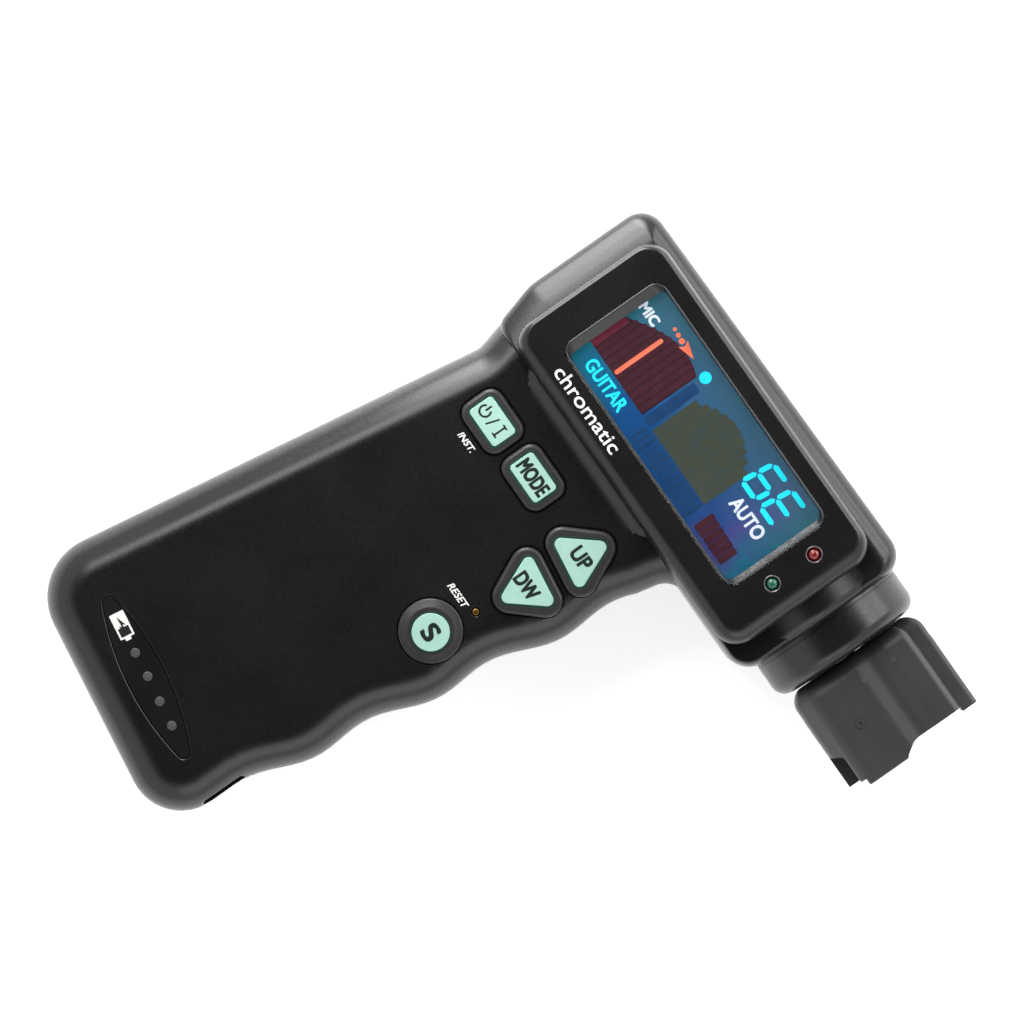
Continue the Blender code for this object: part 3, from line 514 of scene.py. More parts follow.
def add_node(material, kind, links=None, **values):
    """Add a node: values set its properties or named inputs, links join its inputs."""
    tree = material.node_tree
    made = tree.nodes.new(kind)
    for name, value in values.items():
        label = name.replace("_", " ").title() if name not in made.bl_rna.properties else None
        if label is None:
            setattr(made, name, value)
        else:
            made.inputs[label].default_value = value
    for name, source in (links or {}).items():
        tree.links.new(source, made.inputs[name])
    return made


def per_mm(size_mm):
    """Scale of a pattern whose features are about this many millimetres across."""
    return 1.0 / (size_mm * MM)


def surface(name, colour, roughness, metallic=0.0, **sockets):
    """A Principled material; constant values sit on the shader's own sockets."""
    material = bpy.data.materials.new(name)
    material.use_nodes = True
    shader = material.node_tree.nodes["Principled BSDF"]
    shader.inputs["Base Color"].default_value = linear(colour)
    shader.inputs["Roughness"].default_value = roughness
    shader.inputs["Metallic"].default_value = metallic
    for socket, value in sockets.items():
        shader.inputs[socket.replace("_", " ")].default_value = value
    return material, shader


def place_of(material):
    """Where a point lies on the piece, in metres."""
    return add_node(material, "ShaderNodeTexCoord").outputs["Object"]


def vary(material, shader, socket, source, low, high, start=0.3, stop=0.7):
    """Drive a shader value from a pattern, between two values."""
    spread = add_node(material, "ShaderNodeMapRange", {"Value": source}, from_min=start,
                      from_max=stop, to_min=low, to_max=high)
    material.node_tree.links.new(spread.outputs["Result"], shader.inputs[socket])
    return spread


def tint(material, shader, source, first, second, start=0.35, stop=0.65):
    """Blend two colours by a pattern into the base colour."""
    ramp = add_node(material, "ShaderNodeValToRGB", {"Fac": source})
    ramp.color_ramp.elements[0].position = start
    ramp.color_ramp.elements[0].color = linear(first)
    ramp.color_ramp.elements[1].position = stop
    ramp.color_ramp.elements[1].color = linear(second)
    material.node_tree.links.new(ramp.outputs["Color"], shader.inputs["Base Color"])
    return ramp


def paint_ramp(ramp, stops):
    """Set a colour ramp from (position, colour) pairs in rising order."""
    elements = ramp.color_ramp.elements
    while len(elements) < len(stops):
        elements.new(1.0)
    for index, (position, colour) in enumerate(stops):
        elements[index].position = position
        elements[index].color = colour


def grain_bump(material, shader, size_mm, depth_mm, detail=3.0, strength=1.0):
    """A fine moulded or ground grain as bump; one noise feature is about size_mm across."""
    noise = add_node(material, "ShaderNodeTexNoise", {"Vector": place_of(material)},
                     scale=per_mm(size_mm), detail=detail, roughness=0.6)
    bump = add_node(material, "ShaderNodeBump", {"Height": noise.outputs["Fac"]},
                    strength=strength, distance=depth_mm * MM)
    material.node_tree.links.new(bump.outputs["Normal"], shader.inputs["Normal"])
    return bump


def moulded_abs(name, colour, worn, roughness=0.36, grain_mm=0.35):
    """Injection-moulded ABS with a fine spark grain: satin, a little polished by handling."""
    material, shader = surface(name, colour, roughness, IOR=1.53)
    place = place_of(material)
    # Handling polish: soft patches about 18 mm across, where the grain is rubbed smoother.
    patches = add_node(material, "ShaderNodeTexNoise", {"Vector": place},
                       scale=per_mm(18.18), detail=3.0)
    # Fine dust and rub marks, a few tenths of a millimetre across.
    specks = add_node(material, "ShaderNodeTexNoise", {"Vector": place},
                      scale=per_mm(0.4545), detail=2.0)
    mixed = add_node(material, "ShaderNodeMath", {0: patches.outputs["Fac"],
                                                  1: specks.outputs["Fac"]}, operation="ADD")
    vary(material, shader, "Roughness", mixed.outputs["Value"], roughness - 0.03,
         roughness + 0.04, 0.75, 1.25)
    tint(material, shader, patches.outputs["Fac"], colour, worn)
    grain_bump(material, shader, grain_mm, settings().grain)
    return material


def silicone(name, colour, second, roughness=0.42):
    """Moulded silicone rubber, faintly see-through at its edges and slightly greasy."""
    material, shader = surface(name, colour, roughness, IOR=1.43, Subsurface_Weight=0.08,
                               Subsurface_Scale=0.001)
    noise = add_node(material, "ShaderNodeTexNoise", {"Vector": place_of(material)},
                     scale=per_mm(2.5), detail=4.0)
    tint(material, shader, noise.outputs["Fac"], colour, second)
    vary(material, shader, "Roughness", noise.outputs["Fac"], roughness - 0.05, roughness + 0.08)
    grain_bump(material, shader, 0.3, 0.008)
    return material


def printed(name, colour, second, roughness=0.45):
    """Screen-printed ink: even colour with slight pinholes and a soft edge sheen."""
    material, shader = surface(name, colour, roughness)
    noise = add_node(material, "ShaderNodeTexNoise", {"Vector": place_of(material)},
                     scale=per_mm(0.2857), detail=2.0)
    tint(material, shader, noise.outputs["Fac"], second, colour, 0.2, 0.5)
    grain_bump(material, shader, 0.25, 0.004)
    return material


def metal(name, colour, second, roughness, grain_mm=0.2, depth_mm=0.004, stretch=(1, 1, 1)):
    """Bare metal: turned, ground or cast, by the stretch of its grain."""
    material, shader = surface(name, colour, roughness, 1.0)
    spread = add_node(material, "ShaderNodeMapping", {"Vector": place_of(material)})
    spread.inputs["Scale"].default_value = stretch
    noise = add_node(material, "ShaderNodeTexNoise", {"Vector": spread.outputs["Vector"]},
                     scale=per_mm(grain_mm), detail=3.0)
    tint(material, shader, noise.outputs["Fac"], colour, second)
    vary(material, shader, "Roughness", noise.outputs["Fac"], roughness - 0.06, roughness + 0.1)
    bump = add_node(material, "ShaderNodeBump", {"Height": noise.outputs["Fac"]}, strength=0.6,
                    distance=depth_mm * MM)
    material.node_tree.links.new(bump.outputs["Normal"], shader.inputs["Normal"])
    return material


def circuit_board(name):
    """Green solder mask over copper tracks, drawn coarse enough to show."""
    material, shader = surface(name, "0F4A26", 0.35)
    tracks = add_node(material, "ShaderNodeTexBrick", {"Vector": place_of(material)},
                      scale=per_mm(5.556))
    tracks.inputs["Color1"].default_value = linear("0F4A26")
    tracks.inputs["Color2"].default_value = linear("14552C")
    tracks.inputs["Mortar"].default_value = linear("2C7A3F")
    material.node_tree.links.new(tracks.outputs["Color"], shader.inputs["Base Color"])
    grain_bump(material, shader, 0.5, 0.01)
    return material


def lit_film(name, colour, second, glow, mottle_mm=2.0):
    """A segment of the display: dyed film lit from behind, with slight unevenness."""
    material, shader = surface(name, colour, 0.4, Emission_Strength=glow)
    noise = add_node(material, "ShaderNodeTexNoise", {"Vector": place_of(material)},
                     scale=per_mm(mottle_mm), detail=3.0)
    ramp = tint(material, shader, noise.outputs["Fac"], second, colour, 0.25, 0.6)
    material.node_tree.links.new(ramp.outputs["Color"], shader.inputs["Emission Color"])
    return material


def display_field(name, glow):
    """The blue field of the display: blue at the back, teal to violet at the nose, mottled."""
    material, shader = surface(name, "1B4F78", 0.25, Emission_Strength=glow)
    place = place_of(material)
    split = add_node(material, "ShaderNodeSeparateXYZ", {"Vector": place})
    along = add_node(material, "ShaderNodeMapRange", {"Value": split.outputs["X"]},
                     from_min=at(WINDOW[0], 0).x, from_max=at(WINDOW[2], 0).x)
    mottle = add_node(material, "ShaderNodeTexNoise", {"Vector": place},
                      scale=per_mm(3.846), detail=4.0)
    nudge = add_node(material, "ShaderNodeMath", {0: mottle.outputs["Fac"]},
                     operation="MULTIPLY_ADD")
    nudge.inputs[1].default_value = 0.22
    nudge.inputs[2].default_value = -0.11
    mixed = add_node(material, "ShaderNodeMath", {0: along.outputs["Result"],
                                                  1: nudge.outputs["Value"]}, operation="ADD")
    ramp = add_node(material, "ShaderNodeValToRGB", {"Fac": mixed.outputs["Value"]})
    stops = ((0.0, "1C7480"), (0.1, "1F6A88"), (0.3, "1A5088"), (0.6, "1B4A80"),
             (0.78, "2C4A84"), (0.87, "4A4A8A"), (0.93, "2F6080"), (1.0, "1C6E82"))
    paint_ramp(ramp, [(position, linear(colour)) for position, colour in stops])
    across = add_node(material, "ShaderNodeMapRange", {"Value": split.outputs["Y"]},
                      from_min=at(0, -6.0).y, from_max=at(0, WINDOW[3]).y, to_max=0.75)
    blend = add_node(material, "ShaderNodeMix", {"Factor": across.outputs["Result"]},
                     data_type="RGBA")
    material.node_tree.links.new(ramp.outputs["Color"], blend.inputs[6])     # colour A
    blend.inputs[7].default_value = linear("4A6E78")      # colour B
    for socket in ("Base Color", "Emission Color"):
        material.node_tree.links.new(blend.outputs[2], shader.inputs[socket])
    return material


def tinted_lens(name, colour, roughness, glow, core):
    """Dyed epoxy of a light-emitting diode, with its lit core showing through."""
    material, shader = surface(name, colour, roughness, IOR=1.52, Transmission_Weight=0.35,
                               Emission_Strength=glow, Emission_Color=linear(core),
                               Coat_Weight=0.6, Coat_Roughness=0.05)
    noise = add_node(material, "ShaderNodeTexNoise", {"Vector": place_of(material)},
                     scale=per_mm(1.111))
    tint(material, shader, noise.outputs["Fac"], colour, core, 0.3, 0.9)
    return material


def clear_acrylic(name, roughness=0.02):
    """Cast acrylic window: clear and polished, with faint wiping haze."""
    material, shader = surface(name, "F4F7FA", roughness, IOR=1.3, Transmission_Weight=1.0)
    haze = add_node(material, "ShaderNodeTexNoise", {"Vector": place_of(material)},
                    scale=per_mm(11.11), detail=4.0)
    vary(material, shader, "Roughness", haze.outputs["Fac"], 0.0, roughness, 0.4, 0.8)
    return material


LOOKS = {}


def make_looks():
    """Every finish, named for its material and how it was made."""
    chosen = settings()
    LOOKS.update({
        "shell": moulded_abs("spark_grained_black_abs", chosen.shell_colour, "161515", 0.27),
        "winder": moulded_abs("moulded_winder_abs", chosen.winder_colour, "353536", 0.48, 0.5),
        "bezel": moulded_abs("glossy_bezel_abs", "1B1B1C", "232324", 0.2, 0.5),
        "rubber": silicone("smoked_silicone", chosen.rubber_colour, "2C2A2B", 0.32),
        "mint": silicone("mint_silicone", chosen.mint_colour, "98C0B2", 0.5),
        # The teal rim round each mint inlay is the inlay's side wall; its dark teal colour is
        # painted shade.
        "shade_rim": silicone("teal_key_trim", "12332F", "183C38", 0.4),
        "legend": printed("dark_teal_ink", "081614", "0C1D1B"),
        "white_ink": printed("white_pad_print", "E9E9E6", "CFCFCC"),
        "black_ink": printed("black_pad_print", "141313", "1C1B1B"),
        "acrylic": clear_acrylic("clear_acrylic"),
        "field": display_field("display_blue_field", 0.42),
        "cyan": lit_film("display_cyan", "1FD8E6", "17C8D8", 0.75),
        "orange": lit_film("display_orange", "F07454", "E56646", 0.7),
        "maroon": lit_film("display_maroon", "4C1E2A", "421B26", 0.3),
        "dark_maroon": lit_film("display_dark_maroon", "36161F", "30141C", 0.25),
        "bright_red": lit_film("display_bright_red", "74283A", "682233", 0.4),
        "olive": lit_film("display_olive", "45493A", "3B4A44", 0.35, 3.125),
        "navy": lit_film("display_navy", "12406C", "103A64", 0.38),
        "white_glow": lit_film("display_white", "E6EAEE", "D4DCE4", 0.55),
        "diffuser": printed("milky_diffuser", "D9D9D4", "CFCFC8", 0.55),
        "gauge_glass": moulded_abs("smoked_gauge_window", "171616", "1D1B1B", 0.2, 0.6),
        "gauge_light": printed("unlit_gauge_light", "4C4A4A", "3A3838", 0.4),
        "red_lens": tinted_lens("red_epoxy", "6A0E12", 0.12, 0.02, "A82828"),
        "green_lens": tinted_lens("green_epoxy", "0A4A36", 0.12, 0.02, "2A8A6A"),
        "lens_ring": metal("satin_lens_ring", "8C8284", "7A7173", 0.35),
        "steel": metal("zinc_plated_steel", "B8BABD", "A6A8AC", 0.3),
        "can": metal("drawn_steel_can", "A9ABAE", "9A9CA0", 0.28, 0.25, 0.004, (0.1, 1, 1)),
        "shaft": metal("ground_steel_shaft", "C2C3C5", "B0B2B5", 0.2, 0.12, 0.002, (1, 0.1, 0.1)),
        "brass": metal("machined_brass", "C9A25A", "B88F48", 0.28),
        "bronze": metal("sintered_bronze", "A67C52", "8E6843", 0.45, 0.15, 0.015),
        "board": circuit_board("solder_masked_board"),
        "nylon": silicone("natural_nylon", "D9D6CB", "CFCBBE", 0.45),
        "grey": moulded_abs("glass_filled_nylon", "3B3C3F", "45464A", 0.5, 0.25),
        "wrap": moulded_abs("heat_shrunk_wrap", "1E4F9A", "22579F", 0.3, 1.2),
        "foam": moulded_abs("closed_cell_foam", "1B1B1B", "272727", 0.85, 0.6),
        "black_hole": moulded_abs("shadowed_black_abs", "0B0A0A", "0F0E0E", 0.5),
    })

# --- Housing -------------------------------------------------------------------------------


def rounded_body(corners, low, high, base_edge, top_edge, base_soft=None, top_soft=None,
                 inset=0.0, steps=9):
    """A form that follows its outline, its back and face rims turned over in arcs."""
    rings = []
    for step in range(steps + 1):
        angle = math.pi / 2.0 * (1.0 - step / steps)
        shape = drawn_in(drawn_in(corners, inset), base_edge * (1.0 - math.cos(angle)), base_soft)
        rings.append(lifted(traced(shape), low + base_edge * (1.0 - math.sin(angle))))
    for step in range(steps + 1):
        angle = math.pi / 2.0 * step / steps
        shape = drawn_in(drawn_in(corners, inset), top_edge * (1.0 - math.cos(angle)), top_soft)
        rings.append(lifted(traced(shape), high - top_edge * (1.0 - math.sin(angle))))
    return loft(rings)


def face_cove(steps=8):
    """The hollow ramp where the grip's face rises to the display block."""
    rings = []
    fade = [COVE_TAPER * step / (steps - 1) for step in range(steps)]
    stations = [COVE_START + along for along in fade]
    stations += [COVE_END - along for along in reversed(fade)]
    for x in stations:
        reach = min(1.0, (x - COVE_START) / COVE_TAPER, (COVE_END - x) / COVE_TAPER)
        drop = COVE_DROP * (1.0 - reach * reach * (3.0 - 2.0 * reach))
        section = [(COVE_ROOT, CORE_Z), (COVE_LOW, CORE_Z)]
        for step in range(steps + 1):
            y = COVE_LOW + (COVE_HIGH - COVE_LOW) * step / steps
            rise = COVE_RADIUS - math.sqrt(COVE_RADIUS ** 2 - (y - COVE_LOW) ** 2)
            section.append((y, GRIP_TOP - 0.02 + rise))
        section.append((COVE_ROOT, section[-1][1]))
        rings.append([at(x, y, z - drop) for y, z in section])
    return loft(rings)


def nose_crown(steps=18):
    """The soft crown on the head between the display block and the collar."""
    rings = []
    for x, lift in NOSE_STATIONS:
        section = [(AXIS_Y - NOSE_CROWN, CORE_Z), (AXIS_Y + NOSE_CROWN, CORE_Z)]
        for step in range(steps + 1):
            share = 1.0 - 2.0 * step / steps
            rise = NOSE_RISE * (0.5 + 0.5 * math.cos(math.pi * share))
            section.append((AXIS_Y + NOSE_CROWN * share, HEAD_TOP - 0.05 + lift + rise))
        rings.append([at(x, y, z) for y, z in section])
    return loft(rings)


def body_form(inset):
    """The whole body's outer form, or its hollow when inset by the wall."""
    chosen = settings()
    shrunk = INNER_EDGE_SHARE * inset
    form = rounded_body(grip_corners(), inset, GRIP_TOP - inset, GRIP_BACK_EDGE - inset,
                        chosen.grip_edge - inset, None, None, inset + GRIP_MARGIN)
    head = rounded_body(HEAD_CORNERS, inset, HEAD_TOP - inset, HEAD_BACK_EDGE - shrunk,
                        HEAD_EDGE - shrunk, BACK_SOFTNESS, HEAD_SOFTNESS, inset + HEAD_MARGIN)
    raised = rounded_body(BLOCK_CORNERS, SPLIT_Z, BLOCK_TOP - inset, BLOCK_FOOT_EDGE,
                          chosen.block_edge - shrunk, None, BLOCK_SOFTNESS, inset)
    steps = [("UNION", head), ("UNION", raised)]
    if inset == 0.0:
        steps += [("UNION", nose_crown()), ("UNION", face_cove())]
    return shaped(form, steps)


def key_forms():
    """Each key's centre, tilt, body corners and inlay corners about its own centre."""
    return {
        "power": ((15.1, -28.5), 0.0, box_corners(-5.3, -4.1, 5.3, 4.1, 2.4),
                  box_corners(-4.1, -2.65, 4.1, 2.65, 0.9)),
        "mode": ((27.2, -28.3), 0.0, box_corners(-5.5, -4.1, 5.5, 4.1, 2.4),
                 box_corners(-4.15, -2.65, 4.15, 2.65, 0.9)),
        "up": ((43.5, -28.6), -8.0, triangle_corners(6.6, 11.4, 3.0),
               triangle_corners(4.9, 8.5, 1.3)),
        "down": ((42.2, -41.0), -8.0, triangle_corners(6.6, 11.4, 3.0, True),
                 triangle_corners(4.9, 8.5, 1.3, True)),
    }


def chamfered_cut(outline_at, depth, top, chamfer=0.25):
    """A cutter with a small chamfer at its mouth; outline_at gives its outline by inset."""
    return loft([lifted(outline_at(0.0), depth), lifted(outline_at(0.0), top - chamfer),
                 lifted(outline_at(-2.0 * chamfer), top + chamfer)])


def face_cuts():
    """Everything that opens through the face, as one cutter."""
    cuts = []
    for centre, tilt, corners, _inlay in key_forms().values():
        def outline_at(inset, corners=corners, centre=centre, tilt=tilt):
            return turned_by(traced(drawn_in(corners, inset - KEY_GAP)), centre, tilt)
        cuts.append(chamfered_cut(outline_at, FACE_CUT_FLOOR, GRIP_TOP))
    round_cuts = ((*SAVE_KEY, SAVE_RADIUS + 0.15, 72, FACE_CUT_FLOOR, GRIP_TOP, 0.25),
                  (*RESET, RESET_BORE, 24, FACE_CUT_FLOOR, GRIP_TOP, 0.12))
    round_cuts += tuple((STATUS_X, y, STATUS_RADIUS + 0.3, 32, BLOCK_CUT_FLOOR, BLOCK_TOP, 0.12)
                        for y in STATUS_LEDS.values())
    for x, y, radius, sides, floor, top, chamfer in round_cuts:
        def circle_at(inset, x=x, y=y, radius=radius, sides=sides):
            return round_outline(x, y, radius - inset, sides)
        cuts.append(chamfered_cut(circle_at, floor, top, chamfer))
    cuts.append(chamfered_cut(gauge_outline, FACE_CUT_FLOOR, GRIP_TOP, 0.15))

    def window_at(inset):
        return traced(drawn_in(box_corners(*WINDOW, WINDOW_CORNER, 8), inset))
    cuts.append(chamfered_cut(window_at, BLOCK_CUT_FLOOR, BLOCK_TOP, 0.15))
    return joined(cuts)


def port_cuts():
    """The charging port's mouth, and the recess round it that runs up over the front edge."""
    wide, high = PORT_MOUTH
    mouth = block((PORT_START, PORT_Y - wide, SPLIT_Z - high),
                  (PORT_OUTSIDE, PORT_Y + wide, SPLIT_Z + high), 1.2)
    half = wide - 0.05
    recess = traced(box_corners(PORT_RECESS_X, PORT_Y - half, PORT_OUTSIDE, PORT_Y + half, 0.7,
                                5))
    return [("DIFFERENCE", mouth),
            ("DIFFERENCE", loft([lifted(recess, SPLIT_Z - 2.6), lifted(recess, 30.0)]))]


class TUNER_OT_shells(bpy.types.Operator):
    """Front and rear shell: one hollow body, parted by a hairline, with its openings"""

    bl_idname = "tuner.shells"
    bl_label = "Shells"

    def execute(self, context):
        low_reach = (-BODY_REACH, -BODY_REACH)
        high_reach = (BODY_REACH, BODY_REACH)
        bore_start, bore_end, bore = NOSE_BORE
        nose_bore = [(0.0, bore_end), (bore, bore_end), (bore, bore_start), (0.0, bore_start)]
        seat, seat_radius = COLLAR_SEAT - 0.05, COLLAR_RADIUS + SPLIT_GAP / 2.0
        collar_seat = [(0.0, bore_end), (seat_radius, bore_end), (seat_radius, seat), (0.0, seat)]
        for name, keep_low in (("front_shell", False), ("rear_shell", True)):
            if keep_low:
                half = block((*low_reach, SPLIT_Z - SPLIT_GAP / 2.0), (*high_reach, BODY_REACH))
            else:
                half = block((*low_reach, -BODY_REACH), (*high_reach, SPLIT_Z + SPLIT_GAP / 2.0))
            steps = [("DIFFERENCE", half), ("DIFFERENCE", body_form(WALL)),
                     ("DIFFERENCE", spun(nose_bore, segments=48)),
                     ("DIFFERENCE", spun(collar_seat))]
            steps += port_cuts()
            if keep_low:
                sinks = [spun([(0, 3.4), (2.15, 3.4)] + arc(2.15 + 0.3, 0.3, 0.3, 180, 270, 3)
                              + [(2.6, -1.0), (0, -1.0)], at(x, y, 0.0), (0, 0, 1), 32)
                         for x, y in SCREWS]
                steps.append(("DIFFERENCE", joined(sinks)))
            else:
                steps.append(("DIFFERENCE", face_cuts()))
            piece(name + "_moulding", shaped(body_form(0.0), steps), LOOKS["shell"], "housing",
                  [name], 34.0)
        return {"FINISHED"}


class TUNER_OT_collar(bpy.types.Operator):
    """Round nose collar with a soft front edge and a fine joint line at the head"""

    bl_idname = "tuner.collar"
    bl_label = "Nose collar"

    def execute(self, context):
        start, end, radius = COLLAR_SEAT, COLLAR_END, COLLAR_RADIUS
        profile = [(4.4, end - 0.3)] + arc(4.8, end - 0.4, 0.4, 180, 90, 3)
        profile += arc(radius - 2.6, end - 2.6, 2.6, 90, 0, 14)
        profile += [(radius, start + 1.34), (radius - 0.12, start + 1.28),
                    (radius - 0.12, start + 1.12), (radius, start + 1.06)]
        profile += arc(radius - 0.2, start + 0.2, 0.2, 0, -90, 3)
        profile += [(radius - 2.0, start), (radius - 2.0, end - 2.0), (4.4, end - 2.0)]
        work = spun(profile, closed=True)
        piece("nose_collar_moulding", work, LOOKS["shell"], "housing", ["nose_collar"])
        return {"FINISHED"}

# --- Winder --------------------------------------------------------------------------------


def cup_half():
    """Corners of one half of the cup's section: (y, z, radius, pieces), anticlockwise."""
    return [(13.5, 0.0, 0.0, 0), (13.5, 3.4, 1.0, 4), (10.1, 3.5, 0.4, 3), (10.0, 9.2, 1.1, 6),
            (5.4, 9.2, 3.2, 6), (2.4, 8.1, 3.4, 8), (-0.8, 9.1, 3.2, 6), (-10.2, 9.1, 3.4, 8),
            (-13.3, 5.2, 2.6, 6)]


def cup_ring(x, inset):
    """The cup's section at x, drawn towards the axis by about the inset."""
    corners = cup_half()
    corners += [(-y, -z, radius, pieces) for y, z, radius, pieces in corners]
    share_y, share_z = (1.0 - inset / reach for reach in CUP_REACH)
    return [at(x, AXIS_Y + y * share_y, AXIS_Z + z * share_z) for y, z in traced(corners)]


def half_turned(work):
    """A copy of a solid turned half a turn about the winder's axis."""
    copy = work.copy()
    bmesh.ops.rotate(copy, verts=copy.verts, cent=at(0, AXIS_Y, AXIS_Z),
                     matrix=Matrix.Rotation(math.pi, 3, "X"))
    return copy


def mouth_cut():
    """Takes the face lobe near the axis back to the mouth's step, in a soft S."""
    corners = [(103.3, 14.5, 0.0, 0), (103.3, 0.2, 3.2, 10), (105.3, -2.9, 3.2, 10),
               (108.0, -3.4, 0.0, 0), (108.0, 14.5, 0.0, 0)]
    outline = traced(corners)
    return loft([lifted(outline, AXIS_Z + 3.6), lifted(outline, AXIS_Z + 14.0)])


def far_side_cuts():
    """Squares the mouth off behind the face lobe and shortens the side walls a little."""
    boxes = (((103.35, -9.9 + AXIS_Y, AXIS_Z - 20), (110, 10.2, AXIS_Z + 3.7)),
             ((104.3, 10.1, AXIS_Z - 20), (110, 20, AXIS_Z + 20)),
             ((104.1, -20, AXIS_Z - 20), (110, -10.3 + AXIS_Y, AXIS_Z + 20)))
    return [("DIFFERENCE", block(*corners)) for corners in boxes]


def notch_cut():
    """The window in the cup's side, slanted at its back end."""
    corners = [(96.6, -16.0, 0.0, 0), (108.0, -16.0, 0.0, 0), (108.0, -11.4, 0.0, 0),
               (98.7, -11.4, 1.4, 6)]
    outline = [(x, y + AXIS_Y) for x, y in traced(corners)]
    return loft([lifted(outline, AXIS_Z - 2.4), lifted(outline, AXIS_Z + 11.0)])


class TUNER_OT_winder(bpy.types.Operator):
    """Two-lobed winder cup with its peg pocket, mouth steps, side windows and screw"""

    bl_idname = "tuner.winder"
    bl_label = "Winder"

    def execute(self, context):
        rings = []
        shoulder, lip, lean = 3.4, 0.35, math.radians(68.0)
        for step in range(11):
            angle = lean * (1.0 - step / 10.0)
            rings.append(cup_ring(CUP_START + shoulder * (math.sin(lean) - math.sin(angle)),
                                  shoulder * (1.0 - math.cos(angle)) + CUP_LINE_STEP))
        rings.append(cup_ring(CUP_LINE, CUP_LINE_STEP))
        rings.append(cup_ring(CUP_LINE + 2.0 * CUP_LINE_STEP, 0.0))
        for step in range(4):
            angle = math.pi / 2.0 * step / 3.0
            rings.append(cup_ring(CUP_END - lip + lip * math.sin(angle),
                                  lip * (1.0 - math.cos(angle))))
        pocket_corners = box_corners(-9.9, -4.7, 9.9, 4.7, 2.2, 6)
        pocket = []
        for x, inset in ((CUP_LINE, 0.5), (CUP_LINE + 0.6, 0.12), (CUP_END - 0.48, 0.0),
                         (CUP_END + 1.12, -0.8)):
            shape = traced(drawn_in(pocket_corners, inset))
            pocket.append([at(x, AXIS_Y + y, AXIS_Z + z) for y, z in shape])
        notch = notch_cut()
        bore = spun([(0, 92), (3.3, 92), (3.3, 80), (0, 80)], segments=48)
        steps = far_side_cuts()
        for tool in (loft(pocket), mouth_cut(), half_turned(notch), notch, bore):
            steps.append(("DIFFERENCE", tool))
        cup = shaped(loft(rings), steps)
        piece("winder_cup_moulding", cup, LOOKS["winder"], "winder", ["winder_cup"],
              40.0)

        ring = arc(0.6, 0.0, 0.13, 0, 360, 12)[:-1]
        gate = spun(ring, at(95.5, -6.1, AXIS_Z + 9.2), (0, 0, 1), 32, True)
        piece("winder_gate_mark", gate, LOOKS["winder"], "winder", ())
        head = [(0, 91.0), (0.9, 91.0), (0.9, 91.3)] + arc(2.1, 91.0, 0.4, 90, 0, 4)
        head += [(2.5, 89.75), (1.15, 89.75), (1.15, 82.5), (0, 82.5)]
        piece("winder_screw_turned", spun(head, segments=48), LOOKS["steel"], "winder",
              ["winder_screw"])
        return {"FINISHED"}

# --- Display -------------------------------------------------------------------------------


def film(outline, level=0, thick=0.05):
    """A thin solid of a display or print layer, raised by its level."""
    base = LCD_TOP + 0.02 + 0.06 * level
    return slab(outline, base, base + thick)


def strip(x0, y0, x1, y1, radius=0.0, level=0):
    """One upright bar of the display."""
    corners = box_corners(x0, y0, x1, y1, radius, 4)
    return film(traced(corners), level)


def segment_digit(x, y, width, height, lit, thick=0.95, slant=0.12):
    """Seven-segment figure: lit holds letters a to g."""
    half = height / 2.0
    spots = {"a": (0.5, height, True), "b": (1.0, half * 1.5, False), "c": (1.0, half * 0.5, False),
             "d": (0.5, 0.0, True), "e": (0.0, half * 0.5, False), "f": (0.0, half * 1.5, False),
             "g": (0.5, half, True)}
    bars = []
    for letter in lit:
        across, up, level_bar = spots[letter]
        long_half = (width if level_bar else half) / 2.0 - 0.16
        tip = thick / 2.0
        shape = [(-long_half, 0.0), (-long_half + tip, -tip), (long_half - tip, -tip),
                 (long_half, 0.0), (long_half - tip, tip), (-long_half + tip, tip)]
        if not level_bar:
            shape = [(-b, a) for a, b in shape]
        middle = (across * width, up)
        bars.append(film([(x + middle[0] + a + slant * (middle[1] + b), y + middle[1] + b)
                          for a, b in shape], 2))
    return joined(bars)


def fan(x0, x1, low, heights, bars, gap, level):
    """A meter of upright bars whose tops follow an arch."""
    pitch = (x1 - x0) / bars
    made = []
    for bar in range(bars):
        left = x0 + bar * pitch
        share = (bar + 0.5) / bars
        top = heights(share)
        made.append(strip(left, low, left + pitch - gap, top, 0.25, level))
    return made


